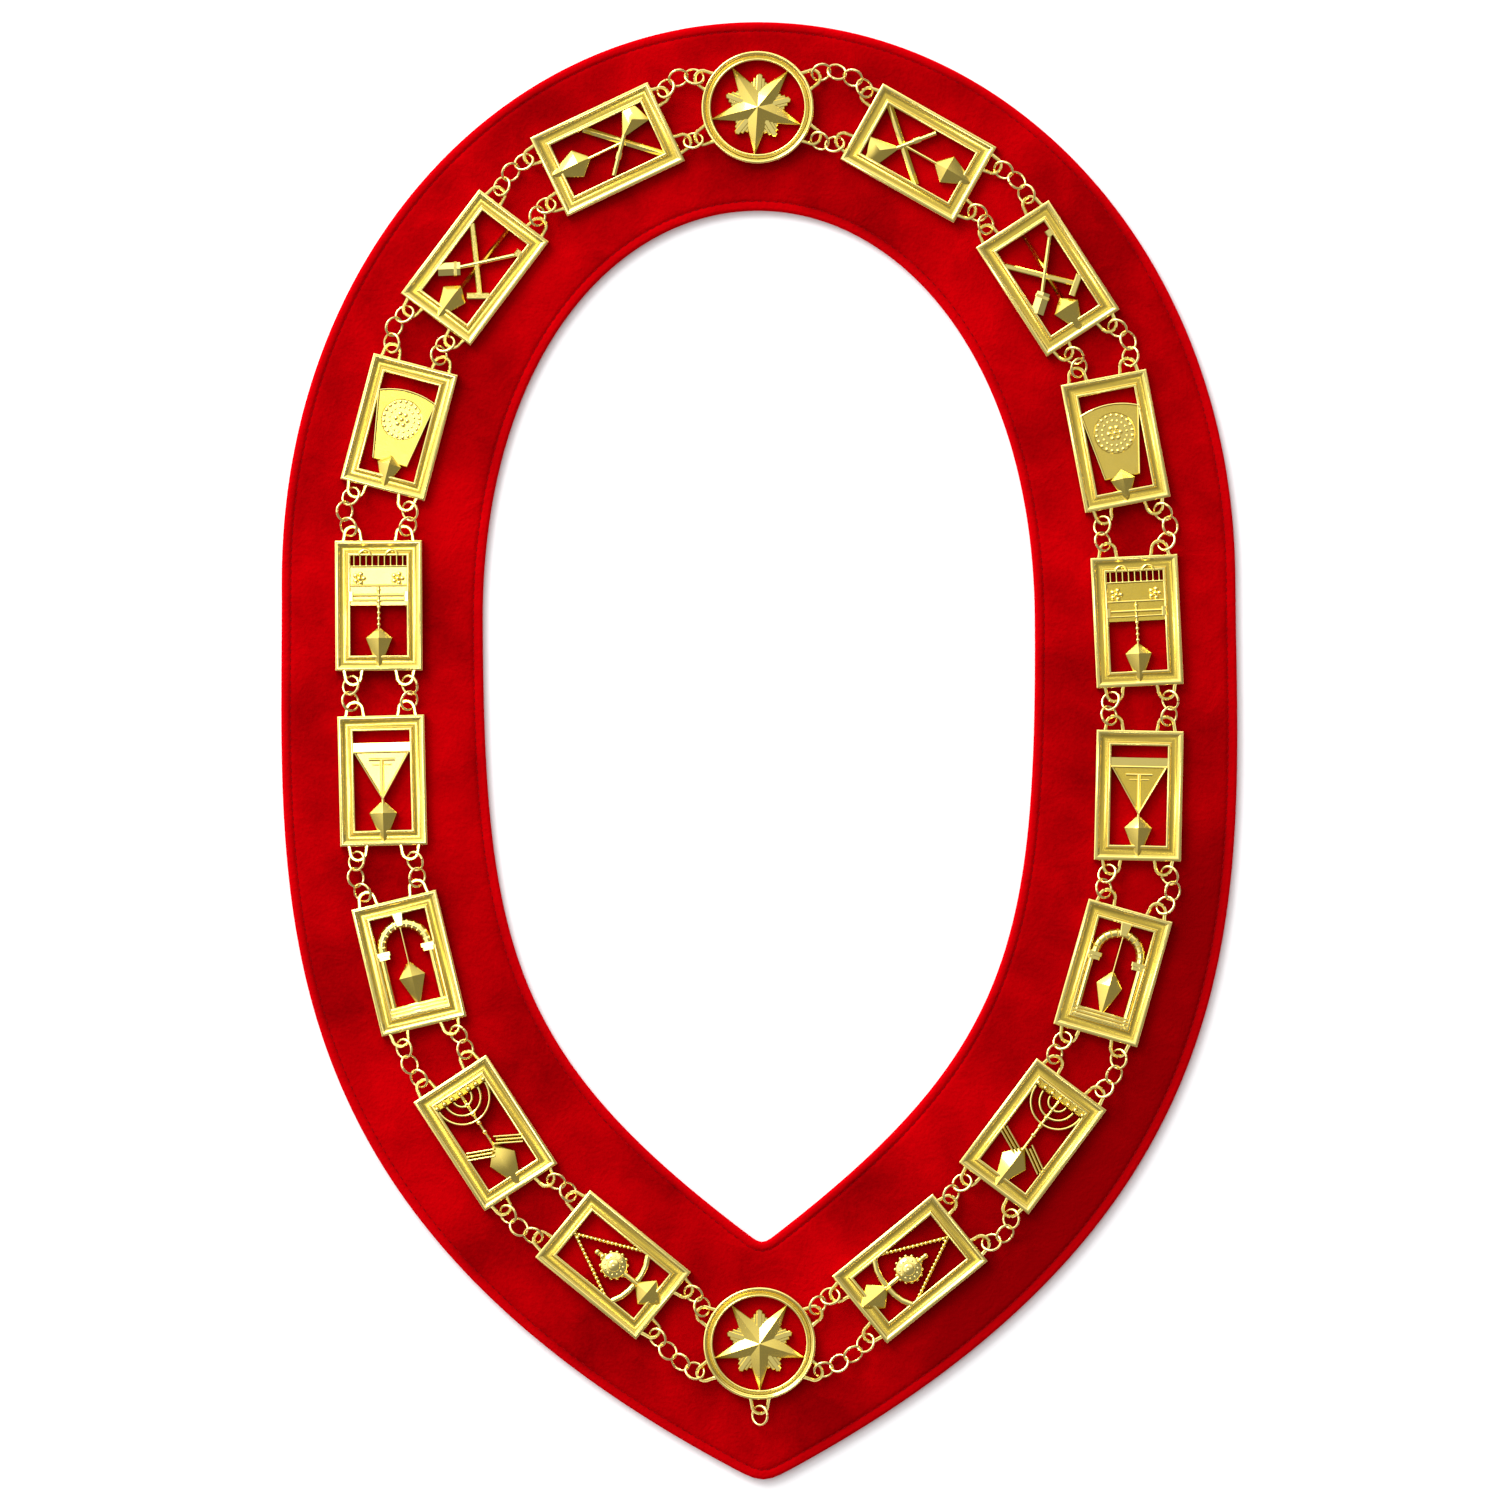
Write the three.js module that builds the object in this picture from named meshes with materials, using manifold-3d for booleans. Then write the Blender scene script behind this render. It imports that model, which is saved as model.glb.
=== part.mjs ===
// Chain of office: a velvet collar that carries sixteen pierced gold plates and two star
// medallions, joined by short chains of jump rings.
//
// Millimetres, +Z up. The collar lies flat with its back on z = 0, the neck opening in the
// middle, the back of the neck towards +Y and the point on the chest towards -Y.
import * as THREE from 'three';
import { mergeVertices } from 'three/addons/utils/BufferGeometryUtils.js';
import Module from 'manifold-3d';

const wasm = await Module();
wasm.setup();

// ---------------------------------------------------------------- driving dimensions

const GAP = 0.3; // air between pieces that lie on each other
const FLAT = 0.05; // facets closer to one plane than this are joined

// Velvet collar. Each outline is two smooth curves a side: crown to widest point, and widest
// point to tip. `crown`, `shoulder`, `waist` and `hip` say how far each curve keeps straight.
const VELVET = { thick: 2.5, steps: 12, edgeRound: 1.0 };
const OUTER_EDGE = {
  top: 240, crown: 85, shoulder: 106, wide: 156.6, wideY: 56, waist: 99, hip: 172, hipRise: 88, tip: -240,
};
const NECK_EDGE = {
  top: 178, crown: 47, shoulder: 86, wide: 90.6, wideY: 43, waist: 108, hip: 82, hipRise: 61.5, tip: -161.5,
};

// Pierced plates, in their own frame: U across, V towards the end nearer the nape, W up.
const PLATE = { wide: 28.8, tall: 43, border: 5.2 };
// The border's moulding: an outer rim, a sunk groove and a lower inner rim.
const MOULDING = {
  rimHigh: 2.8, rimWide: 1.6, grooveHigh: 1.9, grooveFrom: 2.1, grooveTo: 3.7,
  innerHigh: 2.45, innerFrom: 4.1,
};
const RELIEF = { low: 1.7, bar: 2.25, raised: 3.0 }; // heights of the emblems' parts
const PLUMB = { edge: 1.95, peak: 4.1, tip: -PLATE.tall / 2 }; // a plumb's rim, its middle and its tip
const METAL_BASE = VELVET.thick + GAP; // height of the plates' flat backs

// Lugs: flat U-shaped loops on the plates' ends and the medallions' rims. `outside` and `hole`
// are [half width, distance out from the rim], first at the root and then at the blunt end.
const LUG = {
  across: 8.5, holeOut: 2.05, bottom: 2.05, top: 2.65,
  outside: [[3.5, -1], [2.9, 4.9]],
  hole: [[2.2, 0.3], [2.1, 3.9]],
};

// Jump rings: round wire bent to a ring, leaning on its neighbours.
const RING = { radius: 3.1, wire: 0.45, sides: 6, lean: 38, bite: 0.25 };
const RING_SECTION = 0.87; // half height of the wire's three-sided section, in wire radii
const RING_LOOSE = -0.3; // how far an end ring may lie from its hole's middle, inwards
const RING_TAUT = 0.3; // and outwards
const RING_BEND = 20; // usual bend between neighbouring rings, degrees
const NECK_CENTRE = new THREE.Vector2(0, 20);
const SHOULDER_GAPS = [2, 3]; // here the inner rings bow away from the neck, elsewhere towards it

// Medallions: a grooved round rim with a faceted star.
const MEDAL = { radius: 18.5, inner: 15.3, lugAngle: 28, segments: 16 };
const MEDAL_RIM = { outerHigh: 2.8, outerWide: 1.1, grooveHigh: 1.7, grooveWide: 0.7, innerHigh: 2.5 };
const STAR = { points: 5, tip: 15.7, notch: 5.9, edge: 1.5, peak: 4.3 };
const BURST = { tip: 11.2, notch: 6.4, halfTip: 1.9, top: 1.35 };

// Where each plate lies: centre, turn about +Z in degrees, and its emblem.
const PLATES = [
  { name: 'plate_left_1', x: -48.8, y: 198.2, turn: -64.9, emblem: 'trowel' },
  { name: 'plate_left_2', x: -92.5, y: 159.7, turn: -37.3, emblem: 'tools' },
  { name: 'plate_left_3', x: -117.6, y: 107.5, turn: -15.1, emblem: 'keystone' },
  { name: 'plate_left_4', x: -124.6, y: 49.0, turn: 0, emblem: 'ark' },
  { name: 'plate_left_5', x: -123.7, y: -8.4, turn: 1.1, emblem: 'triangle' },
  { name: 'plate_left_6', x: -115.3, y: -68.3, turn: 13.3, emblem: 'arch' },
  { name: 'plate_left_7', x: -90.5, y: -124.1, turn: 32.9, emblem: 'candlestick' },
  { name: 'plate_left_8', x: -48.9, y: -167.5, turn: 50.5, emblem: 'censer' },
  { name: 'plate_right_1', x: 53.1, y: 196.4, turn: 60.3, emblem: 'trowel' },
  { name: 'plate_right_2', x: 95.3, y: 155.1, turn: 32.7, emblem: 'tools' },
  { name: 'plate_right_3', x: 117.3, y: 101.7, turn: 10.6, emblem: 'keystone' },
  { name: 'plate_right_4', x: 124.0, y: 42.6, turn: 2.5, emblem: 'ark' },
  { name: 'plate_right_5', x: 124.3, y: -14.6, turn: -1.5, emblem: 'triangle' },
  { name: 'plate_right_6', x: 115.5, y: -72.7, turn: -16.1, emblem: 'arch' },
  { name: 'plate_right_7', x: 88.9, y: -126.1, turn: -37.1, emblem: 'candlestick' },
  { name: 'plate_right_8', x: 48.4, y: -169.3, turn: -51.0, emblem: 'censer' },
];
const MEDALS = [
  { name: 'medallion_top', x: 0.5, y: 211.7, turn: 0, starTurn: -4, jewelLug: false },
  { name: 'medallion_bottom', x: -1.0, y: -193.6, turn: 0, starTurn: 0, jewelLug: true },
];

const gold = { color: 0xd9bf4e, roughness: 0.22, metalness: 1 };
const velvetRed = { color: 0xb80008, roughness: 0.95, metalness: 0 };

// ---------------------------------------------------------------- solids

const rad = THREE.MathUtils.degToRad;
const along = (angle, length) => new THREE.Vector2(Math.cos(angle), Math.sin(angle)).multiplyScalar(length);
const polar = (radius, degrees) => along(rad(degrees), radius);
const vectors = (pairs) => pairs.map(([x, y]) => new THREE.Vector2(x, y));

/** A closed geometry as a solid that can be joined and cut. */
function solid(geometry) {
  const bare = geometry.index ? geometry.clone() : geometry;
  bare.deleteAttribute('normal');
  bare.deleteAttribute('uv');
  const welded = mergeVertices(bare, 1e-4);
  return new wasm.Manifold(new wasm.Mesh({
    numProp: 3,
    vertProperties: new Float32Array(welded.attributes.position.array),
    triVerts: new Uint32Array(welded.index.array),
  }));
}

/** A solid's surface as a three.js geometry with flat facets. */
function geometryOf(body) {
  const mesh = body.getMesh();
  const geometry = new THREE.BufferGeometry();
  geometry.setAttribute('position', new THREE.BufferAttribute(new Float32Array(mesh.vertProperties), 3));
  geometry.setIndex(new THREE.BufferAttribute(new Uint32Array(mesh.triVerts), 1));
  geometry.computeVertexNormals();
  return geometry;
}

/** All the given solids as one, with the facets that lie in one plane made one face. */
function join(bodies) {
  return bodies.reduce((whole, body) => whole.add(body)).asOriginal().simplify(FLAT);
}

/** A flat piece: an outline of [u, v] corners raised from `bottom` to `top`. */
function slab(outline, bottom, top) {
  const shape = new THREE.Shape(vectors(outline));
  const geometry = new THREE.ExtrudeGeometry(shape, { depth: top - bottom, bevelEnabled: false });
  return solid(geometry.translate(0, 0, bottom));
}

/** A straight bar between two points. */
function bar({ from, to, wide, top = RELIEF.bar }) {
  const [start, end] = vectors([from, to]);
  const side = end.clone().sub(start).rotateAround(new THREE.Vector2(), Math.PI / 2).setLength(wide / 2);
  const corners = [start.clone().add(side), start.sub(side), end.clone().sub(side), end.add(side)];
  return slab(corners.map(({ x, y }) => [x, y]), 0, top);
}

/** An upright block about a centre. */
function block({ at: [x, y], wide, tall, top = RELIEF.bar }) {
  return bar({ from: [x, y - tall / 2], to: [x, y + tall / 2], wide, top });
}

/** A round stud with few sides. */
function stud({ at: [x, y], radius, sides, top = RELIEF.raised }) {
  const corners = Array.from({ length: sides }, (_, i) => polar(radius, (360 * (i + 0.5)) / sides));
  return slab(corners.map((p) => [x + p.x, y + p.y]), 0, top);
}

/** A curved bar: part of a flat ring, from one angle to another. */
function arc({ at: [x, y], radius, wide, from, to, steps }) {
  const angles = Array.from({ length: steps + 1 }, (_, i) => from + ((to - from) * i) / steps);
  const outside = angles.map((angle) => polar(radius + wide / 2, angle));
  const inside = angles.map((angle) => polar(radius - wide / 2, angle)).reverse();
  return slab([...outside, ...inside].map((p) => [x + p.x, y + p.y]), 0, RELIEF.bar);
}

/** A solid from its corner points and its triangles, three indices each. */
function faceted(points, faces) {
  const geometry = new THREE.BufferGeometry();
  geometry.setAttribute('position', new THREE.Float32BufferAttribute(points.flat(), 3));
  geometry.setIndex(faces);
  return solid(geometry);
}

/** A closed hoop through rows of [x, y, z] points, each row joined to the next and the last to the first. */
function hoop(rows) {
  const count = rows[0].length;
  const faces = rows.flatMap((_, row) => rows[row].flatMap((__, i) => {
    const next = (i + 1) % count;
    const after = (row + 1) % rows.length;
    const [a, b, c, d] = [row * count + i, row * count + next, after * count + next, after * count + i];
    return [a, c, b, a, d, c];
  }));
  return faceted(rows.flat(), faces);
}

/** Facets from a rim of [x, y, z] points up to one peak, closed by walls and a flat back. */
function peaked(rim, peak) {
  const count = rim.length;
  const [backCentre, top] = [2 * count, 2 * count + 1];
  const faces = rim.flatMap((_, i) => {
    const next = (i + 1) % count;
    const wall = [i, next, count + next, i, count + next, count + i];
    return [...wall, count + i, count + next, top, next, i, backCentre];
  });
  return faceted([...rim.map(([x, y]) => [x, y, 0]), ...rim, [peak[0], peak[1], 0], peak], faces);
}

/** A plumb blade: a kite of four facets with its long point down. */
function plumb({ top, wide, half, tip = PLUMB.tip }) {
  const corners = [[0, tip], [half, wide], [0, top], [-half, wide]];
  return peaked(corners.map(([u, v]) => [u, v, PLUMB.edge]), [0, wide, PLUMB.peak]);
}

// ---------------------------------------------------------------- velvet collar

/** Half an edge as points from crown to tip, on the +X side. */
function halfEdge({ top, crown, shoulder, wide, wideY, waist, hip, hipRise, tip }) {
  const curve = (...corners) => new THREE.CubicBezierCurve(...vectors(corners));
  const upper = curve([0, top], [crown, top], [wide, wideY + shoulder], [wide, wideY]);
  const lower = curve([wide, wideY], [wide, wideY - waist], [hip, tip + hipRise], [0, tip]);
  const sample = (line, t) => ({ point: line.getPoint(t), tangent: line.getTangent(t) });
  const ts = Array.from({ length: VELVET.steps }, (_, i) => i / VELVET.steps);
  return [...ts.map((t) => sample(upper, t)), ...ts.map((t) => sample(lower, t)), sample(lower, 1)];
}

/** A whole edge as a loop of points, each with the unit normal that points away from the neck. */
function edgeLoop(edge) {
  const normalAt = (point, { x, y }) => (
    Math.abs(point.x) < 1e-6 ? new THREE.Vector2(0, Math.sign(point.y)) : new THREE.Vector2(-y, x));
  const right = halfEdge(edge).map(({ point, tangent }) => ({ point, normal: normalAt(point, tangent) }));
  const left = right.slice(1, -1).reverse().map(({ point, normal }) => ({
    point: new THREE.Vector2(-point.x, point.y), normal: new THREE.Vector2(-normal.x, normal.y),
  }));
  return [...right, ...left];
}

/** The collar: one flat band of velvet cloth with its upper edges rolled, open in the middle. */
function velvetCollar() {
  const { thick, edgeRound } = VELVET;
  const section = [[0, 0], [0, thick - edgeRound], [edgeRound, thick]];
  const inward = (loop, sign, [inset, z]) => loop.map(({ point, normal }) => [
    point.x - sign * normal.x * inset, point.y - sign * normal.y * inset, z]);
  return hoop([
    ...section.map((corner) => inward(edgeLoop(OUTER_EDGE), 1, corner)),
    ...section.map((corner) => inward(edgeLoop(NECK_EDGE), -1, corner)).reverse(),
  ]);
}

// ---------------------------------------------------------------- plates

/** The plate's border: its moulding carried round a rectangle with mitred corners. */
function plateFrame() {
  const { rimHigh, rimWide, grooveHigh, grooveFrom, grooveTo, innerHigh, innerFrom } = MOULDING;
  const moulding = [
    [0, 0], [0, rimHigh], [rimWide, rimHigh], [grooveFrom, grooveHigh], [grooveTo, grooveHigh],
    [innerFrom, innerHigh], [PLATE.border, innerHigh], [PLATE.border, 0],
  ];
  const corners = [[1, 1], [1, -1], [-1, -1], [-1, 1]];
  return hoop(moulding.map(([inset, z]) => corners.map(([su, sv]) => [
    su * (PLATE.wide / 2 - inset), sv * (PLATE.tall / 2 - inset), z])));
}

/** A lug: a flat U-shaped loop that stands out in the direction `outward` from a rim at (x, y). */
function lug({ u, v, outward }) {
  const mirrored = (side) => [...side, ...side.map(([x, y]) => [-x, y]).reverse()];
  const loop = slab(mirrored(LUG.outside), LUG.bottom, LUG.top);
  const hole = slab(mirrored(LUG.hole), LUG.bottom - 1, LUG.top + 1);
  return loop.subtract(hole).rotate([0, 0, outward - 90]).translate([u, v, 0]);
}

/** Where a plate's four lugs stand on its ends, in the plate's own frame. */
const plateLugs = [[-1, 1], [1, 1], [-1, -1], [1, -1]].map(([su, sv]) => ({
  u: su * LUG.across, v: sv * (PLATE.tall / 2), outward: sv * 90,
}));

// The emblems, in a plate's own frame. Their ends run a little way into the border's inner rim, so
// that the whole plate is one casting. Every one has a plumb with its point on the lower border.
const EMBLEMS = {
  // A trowel crossed with a square-ended tool.
  trowel: {
    plumbs: [{ top: -6, wide: -10.8, half: 4.8 }],
    slabs: [{ outline: [[-9.6, 9.8], [-1.2, 6], [-3, 16.6], [-9.6, 14.2]], top: RELIEF.raised }],
    bars: [
      { from: [9.2, 16], to: [-9.4, -4.4], wide: 2 },
      { from: [-2, 7], to: [8.6, -1.8], wide: 1.9 },
      { from: [0, 5], to: [0, -8], wide: 1.5 },
    ],
  },
  // A rod crossed by a mallet and a square.
  tools: {
    plumbs: [{ top: -7.4, wide: -11.2, half: 4.5 }],
    bars: [
      { from: [1.2, 16.8], to: [0.2, -9], wide: 1.5 },
      { from: [9.4, 12.8], to: [-6, -5.2], wide: 1.8 },
      { from: [-9.2, -7.8], to: [-3.6, -3.2], wide: 4.2, top: RELIEF.raised },
      { from: [-9.4, 11], to: [6.6, -6.2], wide: 1.8 },
      { from: [3.6, -9], to: [9.4, -4.6], wide: 2 },
    ],
  },
  // A keystone with a raised round shield.
  keystone: {
    plumbs: [{ top: -9.4, wide: -12.6, half: 4 }],
    slabs: [{
      outline: [[-9.9, 10.4], [-5.8, -12], [5.8, -12], [9.9, 10.4], [5, 12.4], [-5, 12.4]], top: RELIEF.bar,
    }],
    studs: [{ at: [0.2, 2.6], radius: 6.8, sides: 8 }],
  },
  // A chest with posts on its lid, two rosettes and a bar across, on a stem.
  ark: {
    plumbs: [{ top: -7, wide: -10.6, half: 4.3 }],
    blocks: [
      { at: [0, 6.6], wide: 19.2, tall: 13, top: RELIEF.low },
      { at: [0, 3], wide: 19.2, tall: 1.8 },
      ...[-6, 0, 6].map((u) => ({ at: [u, 14.8], wide: 2, tall: 4.2, top: RELIEF.low })),
    ],
    studs: [-6.3, 6.3].map((u) => ({ at: [u, 8.6], radius: 2.1, sides: 5 })),
    bars: [{ from: [0, 4], to: [0, -8.6], wide: 1.6 }],
  },
  // An inverted triangle under a crossbar, with a T on its face.
  triangle: {
    plumbs: [{ top: -6.4, wide: -10.6, half: 4.5 }],
    slabs: [{ outline: [[-9.2, 9.8], [0, -6.2], [9.2, 9.8]], top: RELIEF.low }],
    blocks: [{ at: [0, 10.8], wide: 19.2, tall: 3.2 }, { at: [0, 6.6], wide: 8.6, tall: 1.4 }],
    bars: [{ from: [0, 10], to: [0, -8], wide: 1.6 }],
  },
  // A stone arch with its keystone and capitals, on two columns and a step.
  arch: {
    plumbs: [{ top: 0.8, wide: -4.4, half: 4.3, tip: -15 }],
    arcs: [{ at: [0, 5.6], radius: 7.6, wide: 2.8, from: -6, to: 186, steps: 5 }],
    blocks: [
      { at: [0, 14.8], wide: 3.2, tall: 4.4, top: RELIEF.raised },
      ...[-8.3, 8.3].map((u) => ({ at: [u, -5.6], wide: 2.6, tall: 22.4 })),
      ...[-7.4, 7.4].map((u) => ({ at: [u, 4.2], wide: 4.6, tall: 2.6, top: RELIEF.raised })),
      { at: [0, -15], wide: 19.2, tall: 3.2, top: RELIEF.raised },
    ],
    bars: [{ from: [0, 12.6], to: [0, -1], wide: 1.2 }],
  },
  // A seven-branched candlestick with a pair of wings.
  candlestick: {
    plumbs: [{ top: -4.4, wide: -10.2, half: 4.8 }],
    arcs: [3.2, 6.1, 9].map((radius) => ({ at: [0, 14], radius, wide: 1.3, from: 180, to: 360, steps: 3 })),
    blocks: [{ at: [0, 15.4], wide: 19.2, tall: 3 }],
    bars: [
      { from: [0, 14], to: [0, -6], wide: 1.4 },
      { from: [-9.2, -3.4], to: [-1, -7], wide: 3.4, top: RELIEF.raised },
      { from: [9.2, -8], to: [1, -3.4], wide: 3.6, top: RELIEF.raised },
    ],
  },
  // A censer: a pot on two chains over a swag.
  censer: {
    plumbs: [{ top: -9.2, wide: -14.4, half: 4.9 }],
    studs: [{ at: [0, -0.4], radius: 4.7, sides: 8 }],
    bars: [
      { from: [0.3, 16.8], to: [-9.4, -4], wide: 1.5 },
      { from: [-0.3, 16.8], to: [9.4, -4.4], wide: 1.5 },
      { from: [0, 7], to: [0, -11], wide: 2.6 },
      { from: [-9.4, -7.4], to: [-1, -9.4], wide: 2.3 },
      { from: [9.4, -7.2], to: [1, -9.4], wide: 2.3 },
    ],
  },
};

/** An emblem's solids, a solid for each row of its tables. */
function emblemSolids({ plumbs, slabs = [], blocks = [], studs = [], arcs = [], bars = [] }) {
  return [
    ...slabs.map(({ outline, top }) => slab(outline, 0, top)), ...blocks.map(block), ...studs.map(stud),
    ...arcs.map(arc), ...bars.map(bar), ...plumbs.map(plumb),
  ];
}

/** One plate: its frame, emblem and four lugs cast as one piece. */
function plateSolid(emblem) {
  return join([plateFrame(), ...emblemSolids(EMBLEMS[emblem]), ...plateLugs.map(lug)]);
}

// ---------------------------------------------------------------- medallions

/** Where a medallion's lugs stand on its rim, in its own frame: four for the chain, one for a jewel. */
function medalLugs(jewelLug) {
  const { radius, lugAngle } = MEDAL;
  const angles = [180 - lugAngle, lugAngle, 180 + lugAngle, -lugAngle, ...(jewelLug ? [-90] : [])];
  return angles.map((outward) => {
    const { x, y } = polar(radius, outward);
    return { u: x, v: y, outward };
  });
}

/** A star's rim: tips and notches in turn, the first tip at `from` degrees. */
function starRim(from) {
  const step = 180 / STAR.points;
  return Array.from({ length: 2 * STAR.points }, (_, i) => {
    const { x, y } = polar(i % 2 ? STAR.notch : STAR.tip, from + i * step);
    return [x, y, STAR.edge];
  });
}

/** The burst behind the star: five short blunt points. */
function burstOutline(from) {
  const step = 360 / STAR.points;
  return Array.from({ length: STAR.points }, (_, i) => {
    const middle = polar(BURST.tip, from + i * step);
    const side = new THREE.Vector2(-middle.y, middle.x).setLength(BURST.halfTip);
    const notch = polar(BURST.notch, from + (i + 0.5) * step);
    return [middle.clone().sub(side), middle.clone().add(side), notch];
  }).flat().map(({ x, y }) => [x, y]);
}

/** A medallion's rim: two raised rims with a groove between them, turned round its axis. */
function medalRim() {
  const { radius, inner, segments } = MEDAL;
  const { outerHigh, outerWide, grooveHigh, grooveWide, innerHigh } = MEDAL_RIM;
  const grooveMiddle = (inner + radius - outerWide) / 2;
  const section = [
    [inner, 0], [radius, 0], [radius, outerHigh], [radius - outerWide, outerHigh],
    [grooveMiddle + grooveWide / 2, grooveHigh], [grooveMiddle - grooveWide / 2, grooveHigh],
    [inner, innerHigh], [inner, 0],
  ];
  return solid(new THREE.LatheGeometry(vectors(section), segments).rotateX(Math.PI / 2));
}

/** One medallion: grooved rim, star pointing down, burst pointing up, and its lugs. */
function medalSolid({ starTurn, jewelLug }) {
  const star = peaked(starRim(-90 + starTurn), [0, 0, STAR.peak]);
  const burst = slab(burstOutline(90 + starTurn), 0, BURST.top);
  return join([medalRim(), star, burst, ...medalLugs(jewelLug).map(lug)]);
}

// ---------------------------------------------------------------- jump rings

/** A ring's corners are this much farther out than its straight sides. */
const RING_CORNER = 1 / Math.cos(Math.PI / RING.sides);

/** How high a leaning ring's middle is: its lower side rests just clear of the velvet. */
const RING_HEIGHT = METAL_BASE + (RING.radius + RING.wire / 2) * RING_CORNER * Math.sin(rad(RING.lean))
  + RING.wire * RING_SECTION * Math.cos(rad(RING.lean));

/** How far to the side of its middle a leaning ring passes through a lug. */
const RING_SIDESTEP = (RING_HEIGHT - METAL_BASE - (LUG.bottom + LUG.top) / 2) / Math.tan(rad(RING.lean));

/** One jump ring of three-sided wire, its long axis at `heading` and leaning to one side. */
function jumpRing(centre, heading, side) {
  const { radius, wire, sides, lean } = RING;
  const ridge = (radius - wire) * RING_CORNER;
  const back = (radius + wire / 2) * RING_CORNER;
  const half = wire * RING_SECTION;
  const ring = new THREE.LatheGeometry(vectors([[ridge, 0], [back, -half], [back, half], [ridge, 0]]), sides);
  ring.rotateX(Math.PI / 2 + side * rad(lean)).rotateZ(heading);
  return solid(ring.translate(centre.x, centre.y, RING_HEIGHT));
}

/** A stretch of linked rings from one lug's hole to another's, bowed to the side `bow`. */
function ringStretch(from, to, bow) {
  const overlap = 2 * RING.wire - RING.bite;
  const endLength = 2 * RING.radius - overlap / 2;
  const middleLength = 2 * RING.radius - overlap;
  const fullReach = (n) => (n === 1 ? 2 * RING.radius : 2 * endLength + (n - 2) * middleLength);
  const count = [1, 2, 3, 4].find((n) => fullReach(n) > from.distanceTo(to) - 2 * RING_TAUT);
  const leanOf = (i) => (i % 2 ? -1 : 1);
  const across = to.clone().sub(from).normalize().rotateAround(new THREE.Vector2(), Math.PI / 2);
  const start = from.clone().addScaledVector(across, RING_SIDESTEP * leanOf(0));
  const stop = to.clone().addScaledVector(across, RING_SIDESTEP * leanOf(count - 1));
  const span = stop.clone().sub(start);
  const straight = count === 1 ? fullReach(1) : fullReach(count) - 2 * endLength;
  const wanted = count === 1 ? straight : straight + 2 * endLength * Math.cos(rad(RING_BEND));
  const inset = THREE.MathUtils.clamp((span.length() - wanted) / 2, RING_LOOSE, RING_TAUT);
  const bendCosine = (span.length() - 2 * inset - straight) / (2 * endLength);
  const bend = count === 1 ? 0 : Math.acos(Math.min(1, bendCosine));
  let joint = start.addScaledVector(span.clone().normalize(), inset);
  const rings = Array.from({ length: count }, (_, i) => {
    const bends = (i === 0 ? bend : 0) - (i === count - 1 ? bend : 0);
    const heading = span.angle() + bow * bends;
    const centre = joint.clone().add(along(heading, RING.radius - (i === 0 ? 0 : overlap / 2)));
    joint = joint.clone().add(along(heading, i === 0 ? endLength : middleLength));
    return jumpRing(centre, heading, leanOf(i));
  });
  return join(rings);
}

// ---------------------------------------------------------------- the whole object

const chain = new THREE.Group();

/** Adds a named mesh with a material of its own. */
function addPiece(name, body, look, parent = chain) {
  const mesh = new THREE.Mesh(geometryOf(body), new THREE.MeshStandardMaterial({ ...look }));
  mesh.name = name;
  parent.add(mesh);
}

/** A plate's or medallion's frame, standing on the velvet. */
function seat({ x, y, turn }) {
  const group = new THREE.Group();
  group.position.set(x, y, METAL_BASE);
  group.rotation.z = rad(turn);
  chain.add(group);
  return group;
}

/** The middle of a lug's hole on the collar, for a lug given in its seat's own frame. */
function holeOnCollar({ x, y, turn }, { u, v, outward }) {
  const hole = new THREE.Vector2(u, v).add(polar(LUG.holeOut, outward));
  return hole.rotateAround(new THREE.Vector2(), rad(turn)).add(new THREE.Vector2(x, y));
}

addPiece('velvet_collar', velvetCollar(), velvetRed);
for (const plate of PLATES) addPiece(plate.name, plateSolid(plate.emblem), gold, seat(plate));
for (const medal of MEDALS) addPiece(medal.name, medalSolid(medal), gold, seat(medal));

/** Two holes with the one farther from the neck first. */
function outerFirst(holes) {
  return holes.sort((p, q) => q.distanceTo(NECK_CENTRE) - p.distanceTo(NECK_CENTRE));
}

// Down each side the pieces follow one another from the top medallion to the bottom one, and
// two stretches of rings, one farther from the neck and one nearer, close every gap.
for (const [side, sign] of [['left', -1], ['right', 1]]) {
  const plates = PLATES.filter(({ name }) => name.includes(side));
  const holesOf = (piece, lugs) => outerFirst(lugs.map((place) => holeOnCollar(piece, place)));
  const medalSide = medalLugs(false).filter(({ u }) => u * sign > 0);
  const [above, below] = MEDALS.map((medal) => holesOf(medal, medalSide));
  const upperEnds = plates.map((plate) => holesOf(plate, plateLugs.filter(({ v }) => v > 0)));
  const lowerEnds = plates.map((plate) => holesOf(plate, plateLugs.filter(({ v }) => v < 0)));
  const starts = [above, ...lowerEnds];
  const stops = [...upperEnds, below];
  starts.forEach(([startOuter, startInner], i) => {
    const [stopOuter, stopInner] = stops[i];
    const innerBow = SHOULDER_GAPS.includes(i + 1) ? sign : -sign;
    addPiece(`rings_${side}_${i + 1}_outer`, ringStretch(startOuter, stopOuter, sign), gold);
    addPiece(`rings_${side}_${i + 1}_inner`, ringStretch(startInner, stopInner, innerBow), gold);
  });
}

// The ring that a jewel hangs from, through the bottom medallion's fifth lug.
const jewelHole = holeOnCollar(MEDALS[1], medalLugs(true)[4]);
const jewelRingCentre = jewelHole.clone().add(new THREE.Vector2(0, RING_TAUT / 2 - RING.radius));
addPiece('jewel_ring', jumpRing(jewelRingCentre, -Math.PI / 2, 1), gold);

export default chain;
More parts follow.
